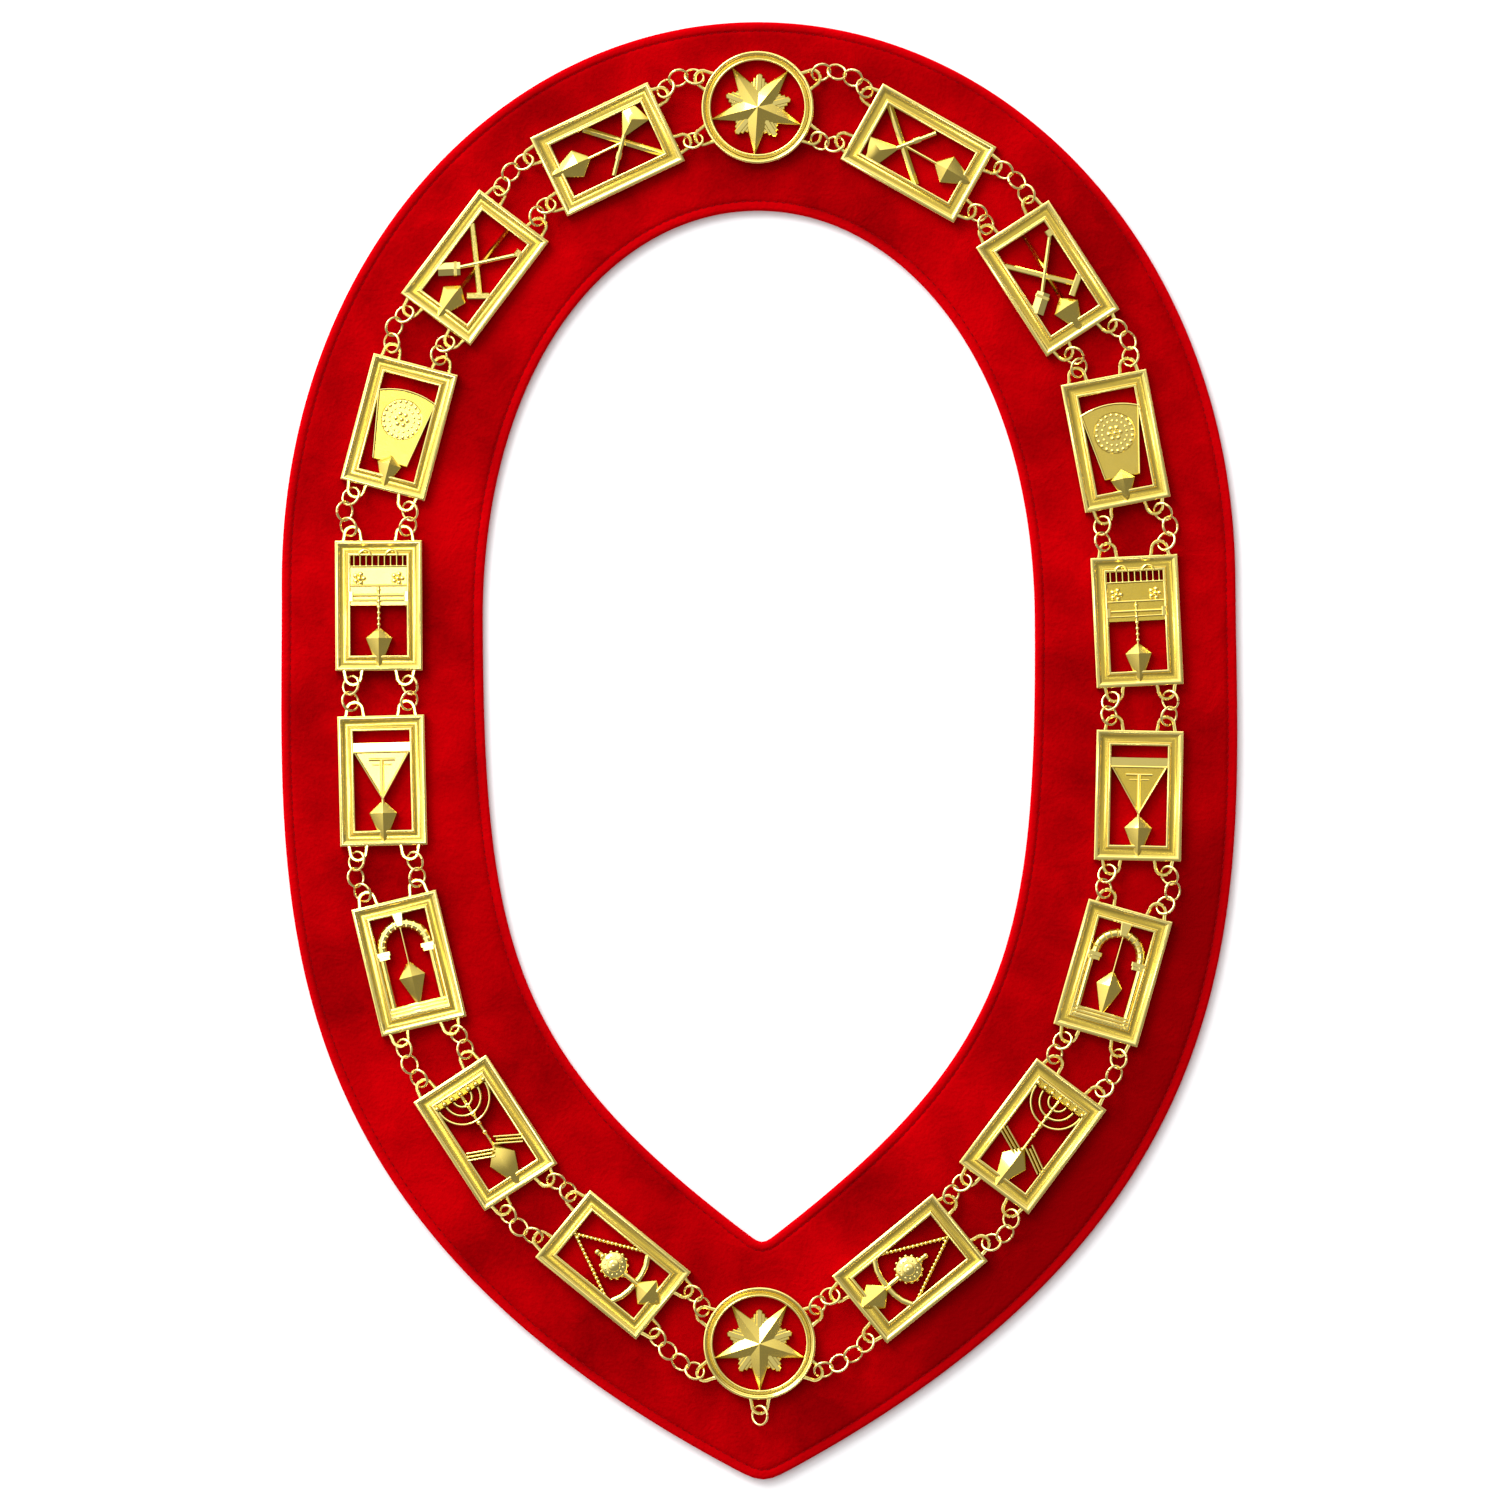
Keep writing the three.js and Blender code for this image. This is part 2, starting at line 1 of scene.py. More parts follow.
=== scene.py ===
"""Chain of office: the looks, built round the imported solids.

A red velvet collar lies flat on a pale floor, with sixteen pierced gold plates and two star
medallions on it, joined by short chains of jump rings, and is seen from straight above.

Sizes are in millimetres and turned to metres when a mesh is made. The frame's own axes hold:
+Z up, +Y to the nape, +X to the viewer's right. Plates and medallions have a frame of their
own, with u across, v towards the nape and w up from the flat back.
"""

import bpy
import numpy as np
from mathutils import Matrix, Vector


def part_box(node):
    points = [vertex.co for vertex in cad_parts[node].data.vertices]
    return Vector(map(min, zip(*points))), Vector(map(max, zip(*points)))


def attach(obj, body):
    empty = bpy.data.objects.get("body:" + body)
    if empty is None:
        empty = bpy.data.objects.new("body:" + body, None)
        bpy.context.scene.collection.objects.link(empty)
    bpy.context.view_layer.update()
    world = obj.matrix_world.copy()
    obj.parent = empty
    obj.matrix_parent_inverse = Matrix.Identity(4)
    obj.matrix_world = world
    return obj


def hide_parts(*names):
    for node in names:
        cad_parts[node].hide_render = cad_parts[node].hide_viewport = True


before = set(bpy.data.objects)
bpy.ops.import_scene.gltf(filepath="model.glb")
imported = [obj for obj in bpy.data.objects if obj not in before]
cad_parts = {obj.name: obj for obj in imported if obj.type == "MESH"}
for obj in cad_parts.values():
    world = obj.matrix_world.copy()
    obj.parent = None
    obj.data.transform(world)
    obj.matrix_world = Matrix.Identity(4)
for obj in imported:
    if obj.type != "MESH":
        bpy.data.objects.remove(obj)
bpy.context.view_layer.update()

MM = 0.001
SHARP = np.radians(32)  # an edge that bends more than this is crisp

# Gold is polished where the wheel reaches it, and its colour is painted brighter there, with
# painted shade below: dull and deep up to the first height, in millimetres above a piece's flat
# back, and fully polished and bright from the second on.
PIECE_SHINE_AND_PAINTED_LIGHT = (1.7, 2.3)
RIM_SHINE_AND_PAINTED_LIGHT = (1.85, 2.35)
FACET_SHINE_AND_PAINTED_LIGHT = 0.3  # a plain facet's shine and painted brightness, whatever its height
RAY_SHINE_AND_PAINTED_HIGHLIGHT = 0.8  # added to a ray's shine and painted brightness, a painted highlight since it lies low

# How many steps or sides the round shapes have.
STEPS = {"lug": 14, "medal": 96, "ring": 45, "wire": 12, "stitch": 7, "across": 14, "under": 6}

# ------------------------------------------------------------------ sizes, in millimetres

# The collar's cloth, and its two outlines. Each outline is two smooth curves a side: crown to
# widest point, and widest point to tip.
VELVET = {"thick": 2.5, "roll": 1.2, "hem": 3.1, "groove": 0.4, "flat_from": 6.0, "wave": 0.1}
WAVES = ((11, 5), (23, -7))  # how often each wave rises round the collar, and its twist across
OUTER_EDGE = {
    "top": 240, "crown": 85, "shoulder": 106, "wide": 156.6, "wide_y": 56,
    "waist": 99, "hip": 172, "hip_rise": 88, "tip": -240,
}
NECK_EDGE = {
    "top": 178, "crown": 47, "shoulder": 86, "wide": 90.6, "wide_y": 43,
    "waist": 108, "hip": 82, "hip_rise": 61.5, "tip": -161.5,
}
STITCH = {"pitch": 2.6, "long": 2.0, "radius": 0.2, "bow": 0.1, "sunk": 0.1, "blunt": 0.15}
METAL_BASE = 2.8  # the plates' backs

PLATE = {"wide": 28.8, "tall": 43.0, "border": 5.2}
MOULDING = {
    "rim_wide": 1.6, "rim_spring": 2.2, "rim_high": 2.8,
    "cove_gap": 0.1, "cove_spring": 2.15, "cove_floor": 1.8,
    "inner_from": 4.2, "inner_spring": 2.05, "inner_high": 2.45,
}
LOW, BAR, RAISED = 1.7, 2.25, 3.0  # heights of the emblems' parts
# A bar's widest chamfer, and how far up it a ridge's eaves and a round top's springing stand.
CHAMFER, EAVES, SPRINGING = 0.28, 0.6, 0.45
PLUMB = {"edge": 1.95, "peak": 4.1, "tip": -PLATE["tall"] / 2}
LUG = {
    "across": 8.5, "hole_out": 2.05, "bottom": 2.05, "top": 2.65, "half": 2.55, "reach": 4.4,
    "wide": 1.0, "foot": ((2.8, 0.4), (3.15, -0.8)),
}
MEDAL = {"radius": 18.5, "inner": 15.3, "lug_angle": 28}
MEDAL_RIM = {
    "outer_wide": 1.1, "outer_spring": 2.2, "outer_high": 2.8, "groove_wide": 0.7,
    "groove_high": 1.7, "inner_wide": 0.9, "inner_spring": 2.0, "inner_high": 2.5,
}
STAR = {"points": 5, "tip": 15.7, "notch": 5.9, "edge": 1.5, "peak": 4.3}
RAY_STEPS = ((8.9, 2.7, 1.3), (10.1, 1.8, 1.55), (11.2, 0.9, 1.8))  # length, half width, height
RAY_POINT = 0.5  # how far a ray's blunt point stands out from its corners
# Rings lean by `lean` degrees, and a stretch of them usually bends by `bend` degrees at its
# ends. Neighbouring wires are sunk into each other by `bite`, and an end ring's wire lies from
# `loose` to `taut` beyond the middle of its lug's hole. Where it was cut, a ring is open by
# `seam` degrees each way. Its solid has as many `sides`, of three-sided wire whose half height
# is `section` wire radii.
RING = {
    "radius": 3.1, "wire": 0.45, "lean": 38, "bite": 0.25, "loose": -0.3, "taut": 0.3, "bend": 20,
    "sides": 6, "section": 0.87, "seam": 2.5,
}
NECK_CENTRE = np.array([0.0, 20.0])
SHOULDER_GAPS = (2, 3)  # here the inner rings bow away from the neck, elsewhere towards it

# ------------------------------------------------------------------ shells from arrays
# A shell is (points, quads, caps): an array of points, an array of four-cornered faces and a
# list of faces with any number of corners. Every shell is closed. A point is [x, y, z, value]:
# on metal the value is how well a face is polished and how bright its colour is painted, with
# painted shade in the hollows; on cloth it is how near the cloth is to an edge, where a painted
# sheen brightens it.


def polish_and_painted_light_by_height(height, limits):
    """How polished gold is at a height, and how brightly its colour is painted: from 0 at the first limit to
    1 at the second.
    """
    dull, bright = limits
    return np.clip((height - dull) / (bright - dull), 0, 1)


def outward(points, quads, caps, shine_and_painted_light=None):
    """A shell with its faces turned outwards: the signed volume under all its triangles, a
    corner dotted with the cross product of the other two, has to be positive. If no fourth
    value is given it is the shine and painted brightness at the height that the shell reaches."""
    if shine_and_painted_light is None:
        shine_and_painted_light = polish_and_painted_light_by_height(points[:, 2].max(), PIECE_SHINE_AND_PAINTED_LIGHT)
    fans = [np.stack([np.full(len(c) - 2, c[0]), c[1:-1], c[2:]], 1) for c in map(np.asarray, caps)]
    corners = np.concatenate([quads[:, [0, 1, 2]], quads[:, [0, 2, 3]], *fans])
    a, b, c = (points[corners[:, k]] for k in range(3))
    if np.einsum("ij,ij->", a, np.cross(b, c)) < 0:
        quads, caps = quads[:, ::-1], [list(cap)[::-1] for cap in caps]
    points = np.column_stack([points, np.broadcast_to(shine_and_painted_light, len(points))])
    return points, quads, [list(cap) for cap in caps]


def skin(grid, closed=False, shine_and_painted_light=None):
    """A shell over a grid of points [row, column]: the columns close on themselves, and the
    rows either close too or end in flat caps."""
    rows, columns = grid.shape[:2]
    i = np.arange(rows if closed else rows - 1)[:, None]
    j = np.arange(columns)[None, :]
    after, beside = (i + 1) % rows, (j + 1) % columns
    here, beyond = i * columns, after * columns
    quads = np.stack([here + j, here + beside, beyond + beside, beyond + j], -1)
    caps = [] if closed else [range(columns), range((rows - 1) * columns, rows * columns)]
    return outward(grid.reshape(-1, 3), quads.reshape(-1, 4), caps, shine_and_painted_light)


def joined(shells):
    """Several shells as one list of points and faces."""
    starts = np.cumsum([0] + [len(points) for points, _, _ in shells])
    caps = [[start + k for k in cap] for (_, _, cs), start in zip(shells, starts) for cap in cs]
    quads = [quads + start for (_, quads, _), start in zip(shells, starts)]
    return np.concatenate([points for points, _, _ in shells]), np.concatenate(quads), caps


def copies(shell, places):
    """The shell repeated at each of the given points."""
    return joined([(shell[0] + [*place, 0.0], shell[1], shell[2]) for place in places])


def turned(points, degrees, x=0.0, y=0.0, z=0.0):
    """The points turned about the upright axis and then moved."""
    c, s = np.cos(np.radians(degrees)), np.sin(np.radians(degrees))
    spin = np.array([[c, s, 0.0], [-s, c, 0.0], [0.0, 0.0, 1.0]])
    moved = np.array(points, float)
    moved[..., :3] = moved[..., :3] @ spin + [x, y, z]
    return moved


def sweep(path, section, closed=False):
    """A section of [offset, height] carried along a level path of [u, v] points. At each point
    the offset is laid off along the mitre: the sum of the two side vectors over one plus their
    dot product. A closed moulding is polished and painted bright on its heights, and duller in
    its hollows, where its colour is painted deeper as painted shade."""
    path, section = np.asarray(path, float), np.asarray(section, float)
    step = np.diff(path, axis=0, append=path[:1])
    step /= np.maximum(np.linalg.norm(step, axis=1, keepdims=True), 1e-9)
    side = np.stack([step[:, 1], -step[:, 0]], 1)
    if closed:
        before = np.roll(side, 1, axis=0)
    else:
        side[-1] = side[-2]
        before = np.vstack([side[:1], side[:-1]])
    mitre = (side + before) / (1 + (side * before).sum(1, keepdims=True))
    level = path[:, None, :] + mitre[:, None, :] * section[None, :, :1]
    height = np.broadcast_to(section[None, :, 1:], (*level.shape[:2], 1))
    grid = np.concatenate([level, height], -1)
    shine_and_painted_light = polish_and_painted_light_by_height(grid[..., 2].ravel(), RIM_SHINE_AND_PAINTED_LIGHT) if closed else None
    return skin(grid, closed, shine_and_painted_light)


def arc_path(at, radius, start, stop, steps):
    """Points round a centre from one angle to another, in degrees."""
    angle = np.radians(np.linspace(start, stop, steps + 1))
    return np.stack([at[0] + radius * np.cos(angle), at[1] + radius * np.sin(angle)], 1)


def half_ellipse(start, stop, spring, top, steps=8):
    """A bead's rounded top from one offset to another, or a cove's floor where the top is lower
    than the spring: the offset is the cosine of an angle, and the height over the spring its
    sine."""
    angle = np.radians(np.linspace(180, 0, steps + 1))
    half = (stop - start) / 2
    offset, height = start + half + half * np.cos(angle), spring + (top - spring) * np.sin(angle)
    return np.stack([offset, height], 1).tolist()


def crown(wide, top, form="flat", base=0.0):
    """The outline of a bar's end, from one foot over the top to the other. A flat bar has
    chamfered edges, a ridge is a roof of two slopes, and a round bar has half an ellipse on
    straight sides."""
    half, chamfer = wide / 2, min(CHAMFER, wide / 4)
    if form == "ridge":
        eaves = base + EAVES * (top - base)
        return [(-half, base), (-half, eaves), (0, top), (half, eaves), (half, base)]
    if form == "round":
        spring = base + SPRINGING * (top - base)
        return [(-half, base), *half_ellipse(-half, half, spring, top), (half, base)]
    return [
        (-half, base), (-half, top - chamfer), (chamfer - half, top),
        (half - chamfer, top), (half, top - chamfer), (half, base),
    ]


def bar(start, stop, wide, top=BAR, form="flat"):
    """A straight bar between two points."""
    return sweep([start, stop], crown(wide, top, form))


def block(at, wide, tall, top=BAR, form="flat"):
    """An upright block about a centre."""
    u, v = at
    return bar((u, v - tall / 2), (u, v + tall / 2), wide, top, form)


def curve(at, radius, wide, start, stop, top=BAR, form="round", steps=24):
    """A curved bar along part of a circle."""
    return sweep(arc_path(at, radius, start, stop, steps), crown(wide, top, form))


def inset(outline, distance):
    """An outline moved inwards, each corner along its mitre."""
    outline = np.asarray(outline, float)
    step = np.roll(outline, -1, axis=0) - outline
    step /= np.linalg.norm(step, axis=1, keepdims=True)
    inward = np.stack([-step[:, 1], step[:, 0]], 1)
    before = np.roll(inward, 1, axis=0)
    return outline + distance * (inward + before) / (1 + (inward * before).sum(1, keepdims=True))


def slab(outline, top, chamfer=0.25, base=0.0):
    """A flat piece with a chamfered upper edge, from a counter-clockwise outline."""
    outline = np.asarray(outline, float)
    layers = [(outline, base), (outline, top - chamfer), (inset(outline, chamfer), top)]
    return skin(np.stack([np.column_stack([line, np.full(len(line), z)]) for line, z in layers]))


def dome(radius, base, top, around=12, up=5, steepest=84):
    """A round boss: rings of points whose radius is the cosine of a climbing angle and whose
    height is its sine, on a short straight foot. The climb stops at a tiny flat cap."""
    climb = np.radians(np.linspace(0, steepest, up))[:, None]
    turn = np.linspace(0, 2 * np.pi, around, endpoint=False)[None, :]
    rings = np.stack([
        radius * np.cos(climb) * np.cos(turn), radius * np.cos(climb) * np.sin(turn),
        base + (top - base) * np.sin(climb) + 0 * turn,
    ], -1)
    foot = rings[:1] * [1, 1, 0]
    return skin(np.concatenate([foot, rings]))


def beads(start, stop, radius, pitch, base=1.2, stilt=0.35):
    """A row of small domes between two points, each taller than its radius by the stilt."""
    start, stop = np.asarray(start, float), np.asarray(stop, float)
    count = max(2, int(round(np.linalg.norm(stop - start) / pitch)) + 1)
    places = start + (stop - start) * np.linspace(0, 1, count)[:, None]
    level = np.column_stack([places, np.zeros(count)])
    return copies(dome(radius, base, base + radius + stilt), level)


def bead_ring(at, ring, radius, count, base):
    """A circle of small domes."""
    places = arc_path(at, ring, 0, 360, count)[:-1]
    level = np.column_stack([places, np.zeros(count)])
    return copies(dome(radius, base, base + radius), level)


def peaked(rim, edge, peak, chamfer=0.22):
    """Facets up to one peak [u, v, w] from a rim of [u, v] corners, counter-clockwise, with a
    chamfered edge, walls and a flat back."""
    rim = np.asarray(rim, float)
    count = len(rim)
    layers = ((rim, 0), (rim, edge - chamfer), (inset(rim, chamfer), edge))
    points = np.vstack([np.column_stack([line, np.full(count, z)]) for line, z in layers] + [[peak]])
    i = np.arange(count)
    after = (i + 1) % count
    walls = [np.stack([k + i, k + after, k + count + after, k + count + i], 1) for k in (0, count)]
    facets = [[2 * count + a, 2 * count + b, 3 * count] for a, b in zip(i, after)]
    return outward(points, np.concatenate(walls), [list(i[::-1]), *facets], FACET_SHINE_AND_PAINTED_LIGHT)


def plumb(top, wide, half, tip=PLUMB["tip"]):
    """A plumb blade: a kite of four facets with its long point down."""
    kite = [(0, tip), (half, wide), (0, top), (-half, wide)]
    return peaked(kite, PLUMB["edge"], (0, wide, PLUMB["peak"]))


# ------------------------------------------------------------------ plates


def plate_frame():
    """The border: a moulding with two rounded rims and a hollow cove between them, mitred
    round a rectangle."""
    m = MOULDING
    cove = (m["rim_wide"] + m["cove_gap"], m["inner_from"] - m["cove_gap"])
    section = [
        (0, 0), *half_ellipse(0, m["rim_wide"], m["rim_spring"], m["rim_high"]),
        *half_ellipse(*cove, m["cove_spring"], m["cove_floor"]),
        *half_ellipse(m["inner_from"], PLATE["border"], m["inner_spring"], m["inner_high"]),
        (PLATE["border"], 0),
    ]
    corners = np.array([(-1, 1), (1, 1), (1, -1), (-1, -1)]) * [PLATE["wide"] / 2, PLATE["tall"] / 2]
    return sweep(corners, section, closed=True)


def lug(u, v, outward_angle):
    """A lug: a flat-topped wire bent to a U, its splayed ends sunk in the rim that it stands on."""
    bend = arc_path((0, LUG["reach"] - LUG["half"]), LUG["half"], 180, 0, STEPS["lug"])
    foot = np.array(LUG["foot"])
    path = np.vstack([foot[::-1] * [-1, 1], bend, foot])
    points, quads, caps = sweep(path, crown(LUG["wide"], LUG["top"], "flat", LUG["bottom"]))
    return turned(points, outward_angle - 90, u, v), quads, caps


def trowel():
    """A trowel crossed with a square-ended gauge."""
    blade = peaked([(-9.6, 9.8), (-1.2, 6), (-3, 16.6), (-9.6, 14.2)], 2.1, (-5.4, 11.4, 3.7))
    return [
        plumb(-6, -10.8, 4.8), blade,
        bar((9.2, 16), (-9.4, -4.4), 2, form="ridge"),
        bar((-2, 7), (8.6, -1.8), 1.9, 2.5, "round"),
        bar((2.6, 3.2), (4.4, 1.7), 2.5, 2.8, "round"),
        bar((0, 5), (0, -8), 1.3, form="round"),
    ]


def tools():
    """A rod crossed by a mallet and a square."""
    return [
        plumb(-7.4, -11.2, 4.5),
        bar((1.2, 16.8), (0.2, -9), 1.4, form="ridge"),
        bar((9.4, 12.8), (-6, -5.2), 1.7, 2.4, "round"),
        bar((-9.2, -7.8), (-3.6, -3.2), 4.2, RAISED, "ridge"),
        bar((-5.2, -4.5), (-4.4, -3.9), 4.7, RAISED),
        bar((-9.4, 11), (6.6, -6.2), 1.7),
        bar((3.6, -9), (9.4, -4.6), 2, 2.5),
        block((8.6, 12.2), 2.2, 2.2, 2.6),
    ]


def keystone():
    """A keystone with a raised border and a round shield of beads round a rosette. Its top is a
    parabola that falls from the middle to the corners."""
    corner, height, fall, middle = 9.9, 12.5, 2.1, (0.2, 2.6)
    brow = [(u, height - fall * (u / corner) ** 2) for u in np.linspace(corner, -corner, 13)]
    outline = [(-5.8, -12), (5.8, -12), *brow]
    border = [bar((u, 10.2), (0.6 * u, -11.8), 0.9, 2.6, "round") for u in (-9.5, 9.5)]
    brim = sweep([(u, v - 0.4) for u, v in brow], crown(0.9, 2.6, "round"))
    shield = slab(arc_path(middle, 6.8, 0, 360, 40)[:-1], 2.1)
    return [
        slab(outline, 1.8), *border, brim, shield, plumb(-9.4, -12.6, 4),
        bead_ring(middle, 5.9, 0.62, 20, 2.0), bead_ring(middle, 4.1, 0.45, 16, 2.05),
        bead_ring(middle, 1.9, 0.8, 6, 2.0), copies(dome(0.85, 2.0, 3.3), [(*middle, 0)]),
    ]


def ark():
    """A chest with posts and scrolls on its lid, two rosettes and a bar across, on a stem."""
    posts = [block((u, 14.8), 0.9, 4.4, 2.0, "round") for u in np.linspace(-8, 8, 9)]
    rosettes = [bead_ring((u, 8.9), 1.45, 0.85, 5, 1.9) for u in (-6.3, 6.3)]
    scrolls = [curve((u, 16.4), 1.9, 1.1, 5, 175, 3.0, steps=12) for u in (-4.4, 4.4)]
    ends = [block((u, 3), 1.5, 3.0, 2.9) for u in (-9.1, 9.1)]
    rails = [bar((-9.3, v), (9.3, v), 0.9, 2.55, "round") for v in (12.9, 6.6)]
    return [
        block((0, 6.6), 19.2, 13, LOW), *posts, *rosettes, *scrolls, *ends, *rails,
        copies(dome(0.9, 1.9, 3.2), [(-6.3, 8.9, 0), (6.3, 8.9, 0)]),
        bar((-9.3, 3.4), (9.3, 3.4), 1.1, 2.5, "round"),
        bar((-9.3, 1.7), (9.3, 1.7), 1.0, 2.1, "round"),
        bar((0, 6.6), (0, -8.6), 1.1, BAR, "round"),
        beads((0, 5.2), (0, -6.2), 0.85, 1.9), plumb(-7, -10.6, 4.3),
    ]


def triangle():
    """An inverted triangle with a raised edge under a crossbar, and a T on its face."""
    left, tip, right = (-9.0, 9.6), (0, -6.0), (9.0, 9.6)
    return [
        block((0, 10.8), 19.2, 3.2), slab([(-9.2, 9.8), (0, -6.2), (9.2, 9.8)], LOW),
        sweep([left, tip, right], crown(1.0, 2.6, "round")),
        bar((-9.2, 9.4), (9.2, 9.4), 0.9, 2.7, "round"),
        bar((-4.3, 6.9), (4.3, 6.9), 1.2, 2.4, "round"),
        bar((-3.2, 5.2), (3.2, 5.2), 0.7, 2.1, "round"),
        bar((0, 6.9), (0, -8), 1.4, 2.5, "round"), plumb(-6.4, -10.6, 4.5),
    ]


def arch():
    """A stone arch with its keystone and capitals, on two columns and three steps."""
    middle, radius, stone_turn, pitch = (0, 5.6), 7.6, 12.4, 16
    stones = [
        curve(middle, radius, 2.7, start, start + stone_turn, 2.6, "round", 3)
        for start in np.arange(-5, 180, pitch)
    ]
    columns = [block((u, -5.6), 2.2, 22.4, BAR, "round") for u in (-8.2, 8.2)]
    capitals = [block((u, 4.6), 4.6, 1.3, RAISED) for u in (-7.4, 7.4)]
    necks = [block((u, 3.3), 3.8, 1.1, 2.6) for u in (-7.4, 7.4)]
    rises = ((-13.7, 2.3), (-14.9, 2.65), (-16.1, RAISED))
    steps = [bar((-9.4, v), (9.4, v), 1.0, top) for v, top in rises]
    return [
        curve(middle, radius, 2.8, -6, 186, 1.5, "flat"),
        *stones, *columns, *capitals, *necks, *steps,
        slab([(-1.1, 12.4), (1.1, 12.4), (1.8, 17), (-1.8, 17)], RAISED),
        bar((-9.4, -15), (9.4, -15), 3.2, 1.9),
        bar((0, 12.6), (0, -1), 0.9, form="round"), plumb(0.8, -4.4, 4.3, -15),
    ]


def candlestick():
    """A seven-branched candlestick with a pair of feathered wings."""
    reaches = np.array([3.2, 6.1, 9.0])
    branches = [curve((0, 14), reach, 1.25, 180, 360, 2.5) for reach in reaches]
    cups = copies(dome(0.95, 1.6, 3.1), [(u, 15.2, 0) for u in (*-reaches[::-1], 0, *reaches)])
    feathers = []
    for start, stop in (((-9.3, -3.4), (-1, -7)), ((9.3, -8), (1, -3.4))):
        along = np.subtract(stop, start) / np.linalg.norm(np.subtract(stop, start))
        side = np.array([-along[1], along[0]])
        for k in (-1, 0, 1):
            # Three side by side: the middle one is shorter and stands a little higher.
            shift, shorter, top = side * k * 1.15, along * (1 - abs(k)) * 0.8, RAISED - 0.2 * abs(k)
            feathers.append(bar(start + shift, stop + shift - shorter, 1.1, top, "round"))
    return [
        *branches, cups, *feathers, bar((-9.4, 15.6), (9.4, 15.6), 2.6, LOW),
        bar((0, 14.6), (0, -6), 1.3, form="round"), beads((0, 11), (0, 0.4), 1.0, 3.4, 1.3),
        plumb(-4.4, -10.2, 4.8),
    ]


def censer():
    """A censer: a pot and its lid, each in a circle of beads, on two beaded chains over a swag."""
    pot = (0, -0.4)
    return [
        copies(dome(4.7, 1.2, 3.6, 24, 7), [(*pot, 0)]), copies(dome(2.2, 3.0, 4.0, 14), [(*pot, 0)]),
        bead_ring(pot, 4.4, 0.62, 14, 1.5), bead_ring(pot, 3.0, 0.4, 12, 2.9),
        bar((0, 16.4), (-9.4, -4), 0.8, 1.6), bar((0, 16.4), (9.4, -4.4), 0.8, 1.6),
        beads((0, 16), (-9.3, -3.8), 0.78, 1.42), beads((0, 16), (9.3, -4.2), 0.78, 1.42),
        bar((0, 7), (0, -11), 2, BAR, "round"), beads((0, 6.6), (0, 4.4), 1.1, 1.6, 1.5),
        sweep([(-9.4, -7.2), (-6.5, -8.7), (-3.4, -9.4), (-0.8, -9.5)], crown(2.3, 2.6, "round")),
        sweep([(9.4, -7.0), (6.5, -8.6), (3.4, -9.4), (0.8, -9.5)], crown(2.3, 2.6, "round")),
        plumb(-9.2, -14.4, 4.9),
    ]


EMBLEMS = (trowel, tools, keystone, ark, triangle, arch, candlestick, censer)


def plate_shell(emblem):
    """One whole plate: its frame, its emblem and its four lugs."""
    half_tall = PLATE["tall"] / 2
    lugs = [lug(su * LUG["across"], sv * half_tall, sv * 90) for su in (-1, 1) for sv in (-1, 1)]
    return joined([plate_frame(), *emblem(), *lugs])


# ------------------------------------------------------------------ medallions


def medal_lugs(jewel):
    """Where the lugs stand on a medallion's rim: [u, v, angle that each points in]."""
    above = MEDAL["lug_angle"]
    angles = [180 - above, above, 180 + above, -above, *([-90] if jewel else [])]
    places = MEDAL["radius"] * np.exp(1j * np.radians(angles))
    return [(place.real, place.imag, angle) for place, angle in zip(places, angles)]


def medal_shell(star_turn, jewel):
    """A medallion: a grooved ring turned round its axis, a faceted star with one point down,
    and behind it a burst of five stepped rays with one pointing up."""
    m = MEDAL_RIM
    radius, width = MEDAL["radius"], MEDAL["radius"] - MEDAL["inner"]
    middle = (width + m["outer_wide"]) / 2
    section = [
        (0, 0), *half_ellipse(0, m["outer_wide"], m["outer_spring"], m["outer_high"]),
        (middle - m["groove_wide"] / 2, m["groove_high"]),
        (middle + m["groove_wide"] / 2, m["groove_high"]),
        *half_ellipse(width - m["inner_wide"], width, m["inner_spring"], m["inner_high"]),
        (width, 0),
    ]
    ring = sweep(arc_path((0, 0), radius, 360, 0, STEPS["medal"])[:-1], section, closed=True)
    step = 180 / STAR["points"]
    corners = np.arange(2 * STAR["points"])
    angle = np.radians(star_turn - 90 + step * corners)
    reach = np.where(corners % 2, STAR["notch"], STAR["tip"])
    rim = np.stack([reach * np.cos(angle), reach * np.sin(angle)], 1)
    star = peaked(rim, STAR["edge"], (0, 0, STAR["peak"]))
    rays = []
    for turn in star_turn + 2 * step * np.arange(STAR["points"]):
        for long, half, top in RAY_STEPS:
            shoulder = long - RAY_POINT
            outline = [(-half, 0), (half, 0), (half, shoulder), (0, long), (-half, shoulder)]
            points, quads, caps = slab(outline, top, 0.2)
            rays.append((turned(points, turn) + [0, 0, 0, RAY_SHINE_AND_PAINTED_HIGHLIGHT], quads, caps))
    return joined([ring, star, *rays, *[lug(*place) for place in medal_lugs(jewel)]])


# ------------------------------------------------------------------ jump rings


